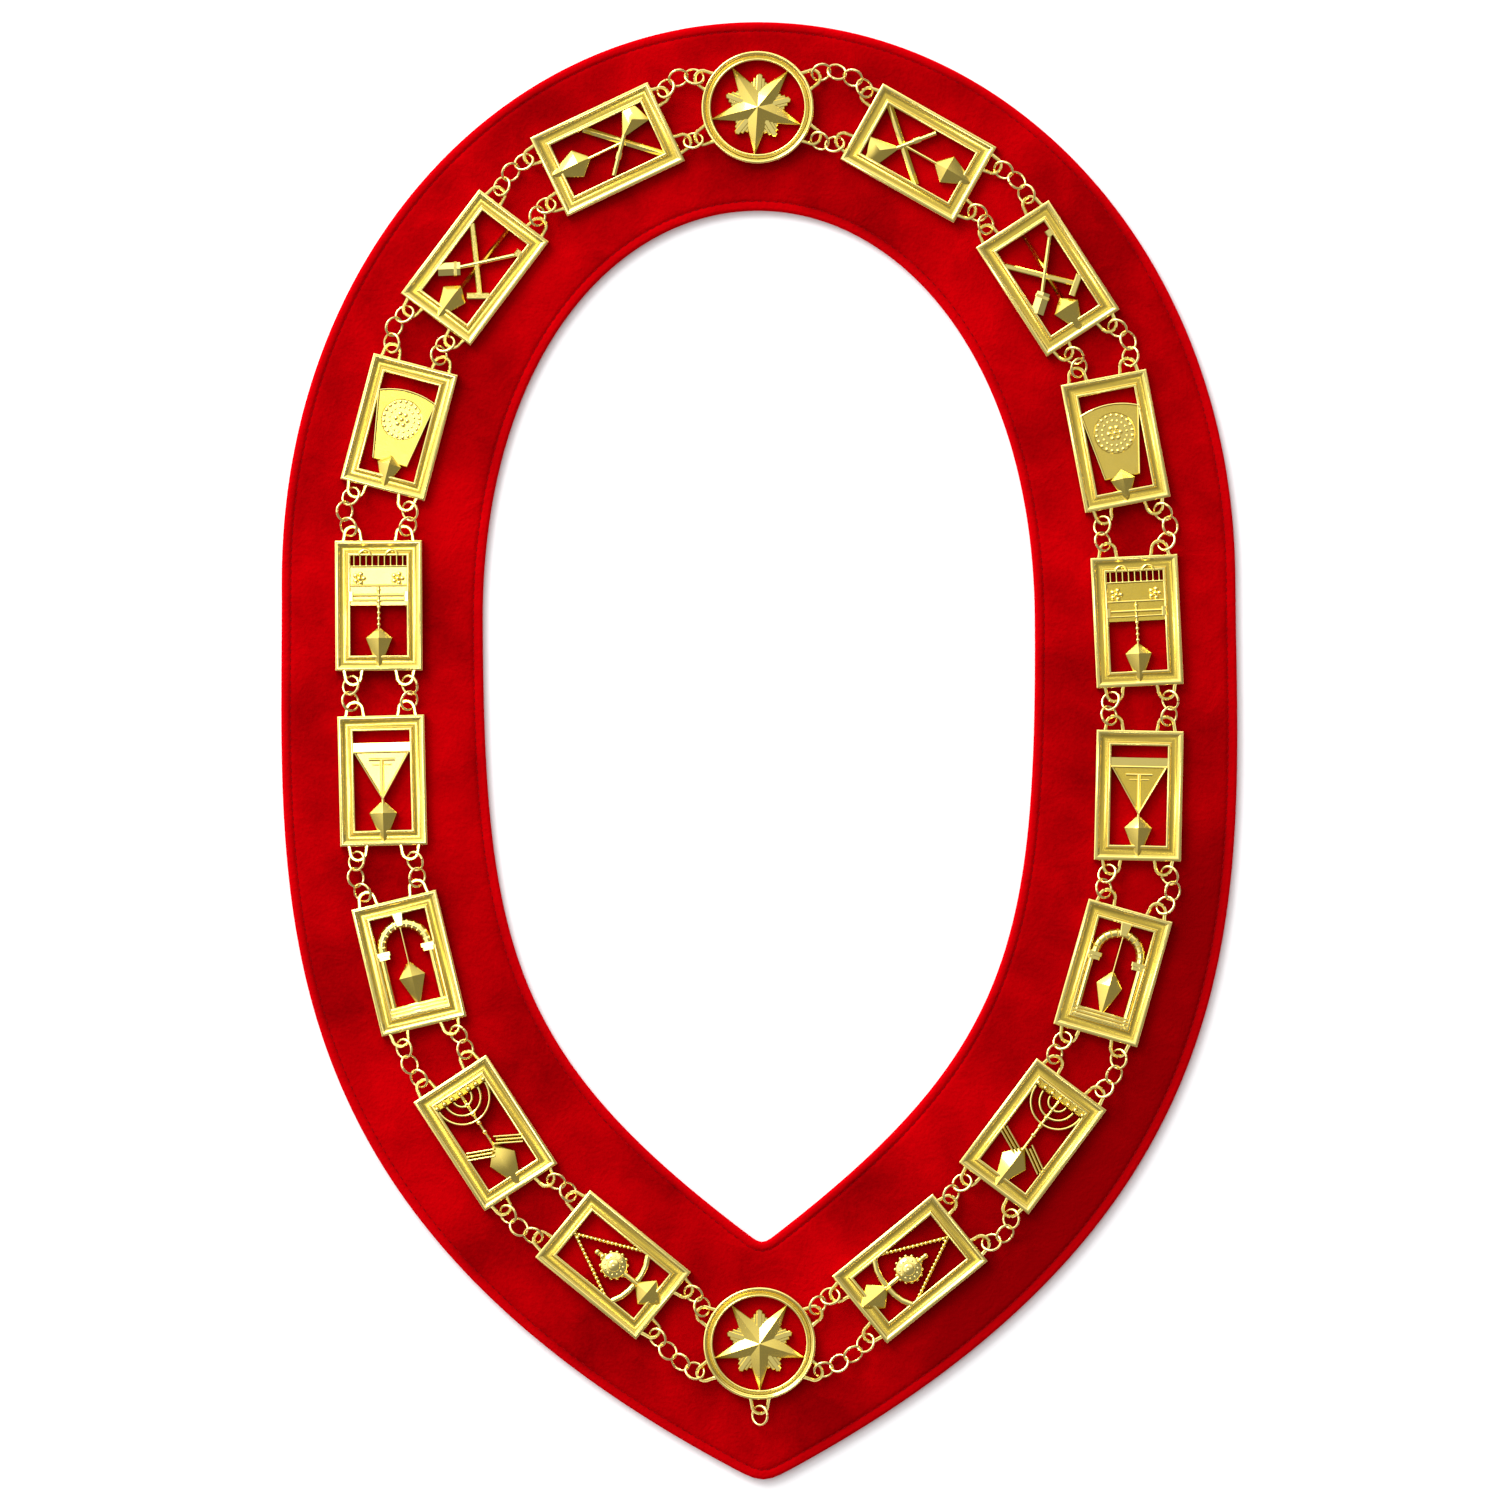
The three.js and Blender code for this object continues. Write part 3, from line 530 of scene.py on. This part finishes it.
def seat(node, back_slack=0.05):
    """Where a plate lies: the middle of its solid's box, and its turn. The back's farthest
    point may be a plate's left or right corner, which gives two turns, and the one that makes
    the back as wide as a plate is right. The upper end is the one nearer the nape."""
    low, high = (np.array(corner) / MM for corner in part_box(node))
    centre = (low + high)[:2] / 2
    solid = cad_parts[node].data
    points = np.empty(len(solid.vertices) * 3)
    solid.vertices.foreach_get("co", points)
    points = points.reshape(-1, 3) / MM
    back = points[points[:, 2] < low[2] + back_slack][:, :2] - centre
    corner = back[np.argmax(np.linalg.norm(back, axis=1))]
    half_diagonal = np.degrees(np.arctan2(PLATE["tall"], PLATE["wide"]))
    heading = np.degrees(np.arctan2(corner[1], corner[0]))
    turns = [(heading - a + 90) % 180 - 90 for a in (half_diagonal, 180 - half_diagonal)]

    def misfit(turn):
        """How far the back's reach across is from half a plate's width, once turned straight."""
        square = turned(np.column_stack([back, 0 * back[:, 0]]), -turn)
        return np.abs(np.abs(square[:, 0]).max() - PLATE["wide"] / 2)

    return centre, min(turns, key=misfit)


def medal_seat(node):
    """Where a medallion lies: its box's middle across, and one radius under its box's top."""
    low, high = (np.array(corner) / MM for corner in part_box(node))
    return np.array([(low[0] + high[0]) / 2, high[1] - MEDAL["radius"]]), 0.0


def hole(place, u, v, outward_angle):
    """The middle of a lug's hole, on the collar."""
    centre, turn = place
    heading = np.radians(outward_angle)
    across, up = u + LUG["hole_out"] * np.cos(heading), v + LUG["hole_out"] * np.sin(heading)
    return turned(np.array([across, up, 0.0]), turn, *centre)[:2]


# A solid ring's corners are this much farther out than its sides. A leaning ring's middle stands
# so high that the solid's low side is just clear of the velvet, and the ring passes through a
# lug this far to the side of its middle.
RING_CORNER = 1 / np.cos(np.pi / RING["sides"])
LEAN = np.radians(RING["lean"])
RING_HEIGHT = (
    METAL_BASE + (RING["radius"] + RING["wire"] / 2) * RING_CORNER * np.sin(LEAN)
    + RING["wire"] * RING["section"] * np.cos(LEAN)
)
RING_SIDESTEP = (RING_HEIGHT - METAL_BASE - (LUG["bottom"] + LUG["top"]) / 2) / np.tan(LEAN)


def jump_ring(centre, heading, side, seam):
    """A ring of round wire: a circle of the wire's radius carried round the ring's own circle,
    open by a hair at its seam. It leans to one side about its heading."""
    around = np.radians(seam + np.linspace(RING["seam"], 360 - RING["seam"], STEPS["ring"]))[:, None]
    wire = np.linspace(0, 2 * np.pi, STEPS["wire"], endpoint=False)[None, :]
    reach = RING["radius"] + RING["wire"] * np.cos(wire)
    x, y, z = reach * np.cos(around), reach * np.sin(around), RING["wire"] * np.sin(wire) + 0 * around
    lean = side * LEAN
    tilted = np.stack([x, y * np.cos(lean) - z * np.sin(lean), y * np.sin(lean) + z * np.cos(lean)], -1)
    points, quads, caps = skin(tilted, shine_and_painted_light=1.0)
    return turned(points, np.degrees(heading), *centre, RING_HEIGHT), quads, caps


def ring_stretch(start, stop, bow, rng):
    """A stretch of linked rings from one lug's hole to another's, bowed to one side. The rings
    lean left and right in turn, and the end rings pass through the lugs off their middles."""
    overlap = 2 * RING["wire"] - RING["bite"]
    end_long, middle_long = 2 * RING["radius"] - overlap / 2, 2 * RING["radius"] - overlap
    reach = {n: 2 * end_long + (n - 2) * middle_long for n in (2, 3, 4)}
    reach[1] = 2 * RING["radius"]
    count = next(n for n in (1, 2, 3, 4) if reach[n] > np.linalg.norm(stop - start) - 2 * RING["taut"])
    across = np.array([start[1] - stop[1], stop[0] - start[0]]) / np.linalg.norm(stop - start)
    lean = [1 if i % 2 == 0 else -1 for i in range(count)]
    start = start + across * RING_SIDESTEP * lean[0]
    span = stop + across * RING_SIDESTEP * lean[-1] - start
    long, angle = np.linalg.norm(span), np.arctan2(span[1], span[0])
    straight = reach[1] if count == 1 else reach[count] - 2 * end_long
    wanted = straight if count == 1 else straight + 2 * end_long * np.cos(np.radians(RING["bend"]))
    slack = np.clip((long - wanted) / 2, RING["loose"], RING["taut"])
    bend = 0 if count == 1 else np.arccos(min(1, (long - 2 * slack - straight) / (2 * end_long)))
    joint, rings = start + span / long * slack, []
    for i in range(count):
        heading = angle + bow * ((bend if i == 0 else 0) - (bend if i == count - 1 else 0))
        ahead = np.array([np.cos(heading), np.sin(heading)])
        centre = joint + ahead * (RING["radius"] - (0 if i == 0 else overlap / 2))
        rings.append(jump_ring(centre, heading, lean[i], rng.uniform(0, 360)))
        joint = joint + ahead * (end_long if i == 0 else middle_long)
    return joined(rings)


# ------------------------------------------------------------------ velvet collar


def bezier(corners, count):
    """Points along a cubic curve, without its last one."""
    t = np.linspace(0, 1, count, endpoint=False)[:, None]
    a, b, c, d = np.asarray(corners, float)
    return (1 - t) ** 3 * a + 3 * (1 - t) ** 2 * t * b + 3 * (1 - t) * t ** 2 * c + t ** 3 * d


def edge_loop(edge, count=170, soften=3):
    """An outline as a loop of points with the unit normals that point away from the neck. A
    running mean over a few points rounds the tip a little, as cloth turned round a corner is."""
    top, wide, wide_y, tip = (edge[k] for k in ("top", "wide", "wide_y", "tip"))
    upper = [(0, top), (edge["crown"], top), (wide, wide_y + edge["shoulder"]), (wide, wide_y)]
    lower = [(wide, wide_y), (wide, wide_y - edge["waist"]), (edge["hip"], tip + edge["hip_rise"]), (0, tip)]
    right = np.vstack([bezier(upper, count), bezier(lower, count), [lower[-1]]])
    left = right[-2:0:-1] * [-1, 1]
    loop = np.vstack([right, left])
    for _ in range(soften):
        loop = (np.roll(loop, 1, axis=0) + 2 * loop + np.roll(loop, -1, axis=0)) / 4
    step = np.roll(loop, -1, axis=0) - np.roll(loop, 1, axis=0)
    normal = np.stack([-step[:, 1], step[:, 0]], 1) / np.linalg.norm(step, axis=1, keepdims=True)
    return loop, normal


def hem_profile():
    """Rows near an edge, as [distance in from the edge, height]: a rolled edge, a soft hem and
    the valley that the stitching pulls down, out to where the cloth lies flat."""
    thick, roll, hem, groove = (VELVET[k] for k in ("thick", "roll", "hem", "groove"))
    angle = np.radians(np.linspace(-90, 78, 9))
    rolled = np.stack([roll - roll * np.cos(angle), thick / 2 + thick / 2 * np.sin(angle)], 1)
    top = [
        (roll * 1.1, thick), (2.0, thick + 0.03), (hem - 0.6, thick - 0.06),
        (hem - 0.25, thick - groove * 0.7), (hem, thick - groove),
        (hem + 0.25, thick - groove * 0.7), (hem + 0.7, thick - 0.08),
        (hem + 1.4, thick - 0.01), (VELVET["flat_from"], thick),
    ]
    return np.vstack([rolled, top])


def collar_shell():
    """The collar: a band between two loops. Across it run the outer hem, the flat cloth with a
    slow shallow wave, the neck hem and the plain back. Each point's fourth value is how near it
    is to an edge, from 0 on the flat cloth to 1 on the rolled edge, and sets how much painted
    sheen the cloth gets there."""
    (outer, out_normal), (neck, neck_normal) = edge_loop(OUTER_EDGE), edge_loop(NECK_EDGE)
    hem = hem_profile()
    across = np.linspace(0, 1, STEPS["across"])[1:-1]
    outer_rows = [(outer - out_normal * d, z, d) for d, z in hem]
    neck_rows = [(neck + neck_normal * d, z, d) for d, z in hem]
    a, b = outer_rows[-1][0], neck_rows[-1][0]
    phase = np.linspace(0, 2 * np.pi, len(outer), endpoint=False)
    wave = [
        VELVET["wave"] * np.sin(np.pi * t) * sum(np.sin(n * phase + twist * t) for n, twist in WAVES) / 2
        for t in across
    ]
    flat = [
        (a + (b - a) * t, VELVET["thick"] + lift, VELVET["flat_from"]) for t, lift in zip(across, wave)
    ]
    under = [(b + (a - b) * t, 0.0, VELVET["flat_from"]) for t in np.linspace(0, 1, STEPS["under"])]
    rows = outer_rows + flat + neck_rows[::-1] + under
    grid = np.stack([np.column_stack([line, np.broadcast_to(z, len(line))]) for line, z, _ in rows], 1)
    near = np.clip(1 - np.array([d for _, _, d in rows]) / VELVET["hem"], 0, 1)
    return skin(grid, closed=True, shine_and_painted_light=np.tile(near, len(outer)))


def stitching_shell():
    """Two rows of thread stitches in the hems' valleys: each stitch is a short bent tube, its
    ends dipping into the cloth, laid along the edge at an even pitch."""
    shells = []
    for edge, sign in ((OUTER_EDGE, -1), (NECK_EDGE, 1)):
        loop, normal = edge_loop(edge)
        line = loop + sign * normal * VELVET["hem"]
        line = np.vstack([line, line[:1]])
        run = np.concatenate([[0], np.cumsum(np.linalg.norm(np.diff(line, axis=0), axis=1))])
        count = int(run[-1] / STITCH["pitch"])
        starts = np.arange(count)[:, None] * run[-1] / count
        t = np.linspace(0, 1, STEPS["stitch"])[None, :]
        place = starts + t * STITCH["long"]
        middle = np.stack([np.interp(place % run[-1], run, line[:, k]) for k in (0, 1)], -1)
        ahead = np.gradient(middle, axis=1)
        ahead /= np.linalg.norm(ahead, axis=-1, keepdims=True)
        side = np.stack([-ahead[..., 1], ahead[..., 0]], -1)
        around = np.linspace(0, 2 * np.pi, STEPS["stitch"], endpoint=False)
        thin = STITCH["radius"] * np.sqrt(np.maximum(STITCH["blunt"], 1 - (2 * t - 1) ** 4))[..., None]
        level = middle[:, :, None, :] + side[:, :, None, :] * (thin * np.cos(around))[..., None]
        valley = VELVET["thick"] - VELVET["groove"] - STITCH["sunk"]
        rise = valley + STITCH["bow"] * np.sin(np.pi * t)[..., None]
        height = rise + thin * np.sin(around) + 0 * level[..., 0]
        grid = np.concatenate([level, height[..., None]], -1)
        shells += [skin(stitch, shine_and_painted_light=1.0) for stitch in grid]
    return joined(shells)


# ------------------------------------------------------------------ materials


def linear(code, alpha=1.0):
    """An sRGB hex colour as linear RGBA."""
    value = np.array([int(code[k:k + 2], 16) for k in (1, 3, 5)]) / 255
    lit = np.where(value <= 0.04045, value / 12.92, ((value + 0.055) / 1.055) ** 2.4)
    return (*lit.tolist(), alpha)


def add(tree, kind, values=None, links=None, **settings):
    """Adds a node: settings are its properties, values go on its sockets, and links join its
    sockets to other nodes' outputs."""
    made = tree.nodes.new(kind)
    for key, value in settings.items():
        setattr(made, key, value)
    for key, value in (values or {}).items():
        made.inputs[key].default_value = value
    for key, output in (links or {}).items():
        tree.links.new(output, made.inputs[key])
    return made


def new_material(name, values):
    """A material with one Principled shader, and its tree's Object coordinates."""
    material = bpy.data.materials.new(name)
    material.use_nodes = True
    tree = material.node_tree
    shader = tree.nodes["Principled BSDF"]
    for key, value in values.items():
        shader.inputs[key].default_value = value
    where = add(tree, "ShaderNodeTexCoord").outputs["Object"]
    return material, tree, shader, where


def rayon_velvet():
    """Rayon velvet, woven with a cut pile: the pile swallows light face-on and its sheen glows
    along the rolled edges, where a brighter red is also painted as a painted sheen. In patches
    where the nap lies another way the red turns lighter or darker, and the lower right is painted
    darker as painted shade."""
    material, tree, shader, where = new_material("rayon_velvet_cut_pile", {
        "Roughness": 0.95, "Specular IOR Level": 0.0, "Sheen Weight": 0.25, "Sheen Roughness": 0.4,
        "Sheen Tint": linear("#FF0A10"),
    })
    # Brushed patches about 45 mm across, streaks about 12 mm, and the pile's own grain. The
    # grain is drawn at about 1.1 mm, coarser than the real tufts' 0.2 mm, so that it shows.
    patches = add(
        tree, "ShaderNodeTexNoise", {"Scale": 1 / 0.045, "Detail": 3, "Roughness": 0.55}, {"Vector": where})
    streaks = add(
        tree, "ShaderNodeTexNoise",
        {"Scale": 1 / 0.012, "Detail": 3, "Roughness": 0.6, "Distortion": 0.8}, {"Vector": where})
    grain = add(tree, "ShaderNodeTexNoise", {"Scale": 1 / 0.0011, "Detail": 2}, {"Vector": where})
    wide = add(
        tree, "ShaderNodeMapRange", {"From Min": 0.35, "From Max": 0.65}, {"Value": patches.outputs["Fac"]})
    nap = add(
        tree, "ShaderNodeMix", {"Factor": 0.45},
        {"A": wide.outputs["Result"], "B": streaks.outputs["Fac"]}, data_type="FLOAT")
    lay = add(
        tree, "ShaderNodeMix", {"Factor": 0.22},
        {"A": nap.outputs["Result"], "B": grain.outputs["Fac"]}, data_type="FLOAT")
    # Painted shade: the cloth is painted darker towards the lower right.
    corner = add(tree, "ShaderNodeVectorMath", {1: (0.9, -0.45, 0.0)}, {0: where}, operation="DOT_PRODUCT")
    painted_corner_shade = add(
        tree, "ShaderNodeMapRange", {"From Min": 0.1, "From Max": 0.17, "To Min": 1.0, "To Max": 0.45},
        {"Value": corner.outputs["Value"]}, interpolation_type="SMOOTHSTEP")
    shade = add(
        tree, "ShaderNodeMath", None,
        {0: lay.outputs["Result"], 1: painted_corner_shade.outputs["Result"]}, operation="MULTIPLY")
    ramp = add(tree, "ShaderNodeValToRGB", None, {"Fac": shade.outputs[0]})
    for stop, at, colour in zip(ramp.color_ramp.elements, (0.25, 0.75), ("#7C0003", "#B20005")):
        stop.position = at
        stop.color = linear(colour)
    # Painted sheen: a brighter red is painted along the edges, fading out about 3 mm in.
    hem = add(tree, "ShaderNodeAttribute", attribute_name="shine_and_painted_light")
    painted_edge_sheen = add(
        tree, "ShaderNodeMix", {"B": linear("#C00007")},
        {"Factor": hem.outputs["Fac"], "A": ramp.outputs["Color"]}, data_type="RGBA")
    tree.links.new(painted_edge_sheen.outputs[2], shader.inputs["Base Color"])
    tufts = add(
        tree, "ShaderNodeBump", {"Strength": 0.5, "Distance": 0.0004}, {"Height": grain.outputs["Fac"]})
    swirl = add(
        tree, "ShaderNodeBump", {"Strength": 0.5, "Distance": 0.0012},
        {"Height": streaks.outputs["Fac"], "Normal": tufts.outputs["Normal"]})
    tree.links.new(swirl.outputs["Normal"], shader.inputs["Normal"])
    return material


def sewing_thread():
    """Polyester thread, spun and dyed to match: a dull sheen, in lighter and darker bands
    where its plies twist."""
    material, tree, shader, where = new_material(
        "polyester_thread", {"Roughness": 0.8, "Specular IOR Level": 0.05})
    twist = add(
        tree, "ShaderNodeTexWave", {"Scale": 1 / 0.0012, "Distortion": 1.5}, {"Vector": where},
        bands_direction="DIAGONAL")
    mix = add(
        tree, "ShaderNodeMix", {"A": linear("#5E0003"), "B": linear("#960006")},
        {"Factor": twist.outputs["Fac"]}, data_type="RGBA")
    tree.links.new(mix.outputs[2], shader.inputs["Base Color"])
    return material


def gold_metal(name, bright, deep, roughness, grain):
    """Gold plating over polished base metal, under a clear lacquer that whitens the highlights:
    mirror-like on the high faces and a little duller in the recesses that the polishing wheel
    doesn't reach. Its colour is painted too: the bright gold on the high faces as a painted
    highlight, the deep gold low down as painted shade. `grain` is the size in metres of the soft
    ripple that casting or drawing leaves under the plating."""
    material, tree, shader, where = new_material(
        name, {"Metallic": 1.0, "Coat Weight": 1.0, "Coat Roughness": 0.05})
    shine_and_painted_light = add(tree, "ShaderNodeAttribute", attribute_name="shine_and_painted_light")
    # Hand polishing leaves clouds about 6 mm across.
    cloud = add(tree, "ShaderNodeTexNoise", {"Scale": 1 / 0.006, "Detail": 3}, {"Vector": where})
    clouded_shine_and_painted_light = add(
        tree, "ShaderNodeMix", {"Factor": 0.2},
        {"A": shine_and_painted_light.outputs["Fac"], "B": cloud.outputs["Fac"]}, data_type="FLOAT")
    # Painted light: the colour runs from the deep gold, painted low down as shade, to the bright gold,
    # painted high up as a highlight.
    colour = add(
        tree, "ShaderNodeMix", {"A": linear(deep), "B": linear(bright)},
        {"Factor": clouded_shine_and_painted_light.outputs["Result"]}, data_type="RGBA")
    dull = add(
        tree, "ShaderNodeMapRange", {"To Min": roughness + 0.14, "To Max": roughness},
        {"Value": clouded_shine_and_painted_light.outputs["Result"]})
    ripple = add(tree, "ShaderNodeTexNoise", {"Scale": 1 / grain, "Detail": 2}, {"Vector": where})
    bump = add(
        tree, "ShaderNodeBump", {"Strength": 0.3, "Distance": grain / 60}, {"Height": ripple.outputs["Fac"]})
    tree.links.new(colour.outputs[2], shader.inputs["Base Color"])
    tree.links.new(dull.outputs["Result"], shader.inputs["Roughness"])
    tree.links.new(bump.outputs["Normal"], shader.inputs["Normal"])
    return material


def studio_floor():
    """Matt white card, with a faint unevenness."""
    material, tree, shader, where = new_material(
        "matt_white_card", {"Roughness": 0.9, "Specular IOR Level": 0.1})
    tone = add(tree, "ShaderNodeTexNoise", {"Scale": 3.0}, {"Vector": where})
    mix = add(
        tree, "ShaderNodeMix", {"A": linear("#F6F5F6"), "B": linear("#FBFAFB")},
        {"Factor": tone.outputs["Fac"]}, data_type="RGBA")
    tree.links.new(mix.outputs[2], shader.inputs["Base Color"])
    return material


# ------------------------------------------------------------------ pieces


def add_piece(name, shell, material, nodes):
    """Makes a piece's object from a shell in millimetres, standing for the given CAD nodes."""
    points, quads, caps = shell
    mesh = bpy.data.meshes.new(name)
    mesh.from_pydata((points[:, :3] * MM).tolist(), [], quads.tolist() + caps)
    mesh.polygons.foreach_set("use_smooth", np.ones(len(mesh.polygons), bool))
    mesh.set_sharp_from_angle(angle=SHARP)
    mesh.materials.append(material)
    # Each point's fourth value is kept for the materials: shine and painted light on gold, painted sheen on
    # the cloth's edges.
    shine_and_painted_light = mesh.attributes.new("shine_and_painted_light", "FLOAT", "POINT")
    shine_and_painted_light.data.foreach_set("value", points[:, 3].astype(np.float32))
    piece = bpy.data.objects.new(name, mesh)
    bpy.context.scene.collection.objects.link(piece)
    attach(piece, "root")
    if nodes:
        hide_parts(*nodes)
    return piece


def build_velvet():
    """The collar's cloth and its stitching, laid down flat."""
    velvet = add_piece("velvet_cloth", collar_shell(), rayon_velvet(), ["velvet_collar"])
    stitches = add_piece("hem_stitching", stitching_shell(), sewing_thread(), [])


def add_cast(name, shell, place, material):
    """Lays a plate's or a medallion's shell at its place, on the plates' level."""
    points, quads, caps = shell
    centre, turn = place
    laid = (turned(points, turn, *centre, METAL_BASE), quads, caps)
    add_piece(f"{name}_cast", laid, material, [name])


def plate_holes(place):
    """The holes of a plate's lugs: the pair at its upper end, then the pair at its lower end."""
    across, half_tall = LUG["across"], PLATE["tall"] / 2
    return [[hole(place, su * across, sv * half_tall, sv * 90) for su in (-1, 1)] for sv in (1, -1)]


def build_metal():
    """Every plate, medallion and ring, in the order in which they follow one another."""
    cast = gold_metal("gold_plated_zinc_die_cast", "#FCE680", "#D6B632", 0.10, 0.0020)
    drawn = gold_metal("gold_plated_brass_wire", "#FDE890", "#E0BC48", 0.12, 0.0009)
    rng = np.random.default_rng(11)
    shells = [plate_shell(emblem) for emblem in EMBLEMS]
    medals = [("medallion_top", -4, False), ("medallion_bottom", 0, True)]
    seats = {name: medal_seat(name) for name, _, _ in medals}
    for name, star_turn, jewel in medals:
        add_cast(name, medal_shell(star_turn, jewel), seats[name], cast)
    for side, sign in (("left", -1), ("right", 1)):
        first, last = (
            [hole(seats[name], *at) for at in medal_lugs(False) if at[0] * sign > 0] for name in seats
        )
        holes = [first]
        for i, shell in enumerate(shells, 1):
            name = f"plate_{side}_{i}"
            place = seat(name)
            add_cast(name, shell, place, cast)
            holes += plate_holes(place)
        holes.append(last)
        # Of each pair, the hole farther from the neck comes first.
        holes = [sorted(pair, key=lambda p: -np.linalg.norm(p - NECK_CENTRE)) for pair in holes]
        for gap, (starts, stops) in enumerate(zip(holes[::2], holes[1::2]), 1):
            bows = (sign, sign if gap in SHOULDER_GAPS else -sign)
            for row, start, stop, bow in zip(("outer", "inner"), starts, stops, bows):
                name = f"rings_{side}_{gap}_{row}"
                add_piece(f"{name}_wire", ring_stretch(start, stop, bow, rng), drawn, [name])
    # The ring that a jewel hangs from, straight below its lug, with its seam on the right.
    lowest = hole(seats["medallion_bottom"], *medal_lugs(True)[-1])
    jewel = jump_ring(lowest + [0, RING["taut"] / 2 - RING["radius"]], -np.pi / 2, 1, 90)
    add_piece("jewel_ring_wire", jewel, drawn, ["jewel_ring"])


# ------------------------------------------------------------------ studio


def build_studio():
    """A pale floor, a big soft light from the upper left, a long panel overhead on the left that
    the flat gold faces mirror, a room that glows from the upper left, and a camera straight
    above. The floor lies a hair under the cloth's back. Lengths here are in metres."""
    floor_drop = 0.0003
    bpy.ops.mesh.primitive_plane_add(size=6.0, location=(0, 0, -floor_drop))
    floor = bpy.context.object
    floor.name = "floor"
    floor.data.materials.append(studio_floor())

    lights = (
        # name, place, aim, size, power in watts
        ("key_softbox", (-1.39, 1.98, 1.40), (0, 0, 0), (1.6, 1.5), 75),
        ("overhead_panel", (-0.62, 0.015, 3.3), (-0.62, 0.015, 0), (0.95, 0.33), 9),
    )
    for name, place, aim, (wide, tall), power in lights:
        lamp = bpy.data.lights.new(name, "AREA")
        lamp.shape, lamp.size, lamp.size_y, lamp.energy = "RECTANGLE", wide, tall, power
        obj = bpy.data.objects.new(name, lamp)
        obj.location = place
        direction = Vector(aim) - Vector(place)
        obj.rotation_euler = direction.to_track_quat("-Z", "Y").to_euler()
        bpy.context.scene.collection.objects.link(obj)

    world = bpy.data.worlds.new("studio_room")
    bpy.context.scene.world = world
    world.use_nodes = True
    tree = world.node_tree
    facing = add(tree, "ShaderNodeTexCoord").outputs["Generated"]
    # A broad glow from the upper left, low enough to light tilted gold, under a dimmer ceiling
    # that keeps flat gold deep, and a weak light from all sides.
    glow = add(tree, "ShaderNodeVectorMath", {1: (-0.497, 0.709, 0.5)}, {0: facing}, operation="DOT_PRODUCT")
    lobe = add(
        tree, "ShaderNodeMapRange", {"From Min": 0.1, "From Max": 0.75},
        {"Value": glow.outputs["Value"]}, interpolation_type="SMOOTHSTEP")
    height = add(tree, "ShaderNodeSeparateXYZ", None, {"Vector": facing}).outputs["Z"]
    ceiling = add(
        tree, "ShaderNodeMapRange", {"From Min": 0.72, "From Max": 0.95, "To Min": 1.6, "To Max": 0.5},
        {"Value": height}, interpolation_type="SMOOTHSTEP")
    light = add(
        tree, "ShaderNodeMath", {2: 0.3},
        {0: lobe.outputs["Result"], 1: ceiling.outputs["Result"]}, operation="MULTIPLY_ADD")
    tree.links.new(light.outputs[0], tree.nodes["Background"].inputs["Strength"])
    tree.nodes["Background"].inputs["Color"].default_value = linear("#FFFFFF")

    camera = bpy.data.cameras.new("camera")
    camera.lens, camera.sensor_width = 200, 36
    seen = 0.4927  # how much of the floor fits across the picture
    distance = seen * camera.lens / camera.sensor_width
    camera.clip_start, camera.clip_end = 0.1, 20
    eye = bpy.data.objects.new("camera", camera)
    eye.location = (-0.0031, 0.0010, distance)
    eye.rotation_euler = (0, 0, np.radians(-0.3))
    bpy.context.scene.collection.objects.link(eye)
    bpy.context.scene.camera = eye
    bpy.context.scene.view_settings.view_transform = "Standard"


build_studio()
build_velvet()
build_metal()
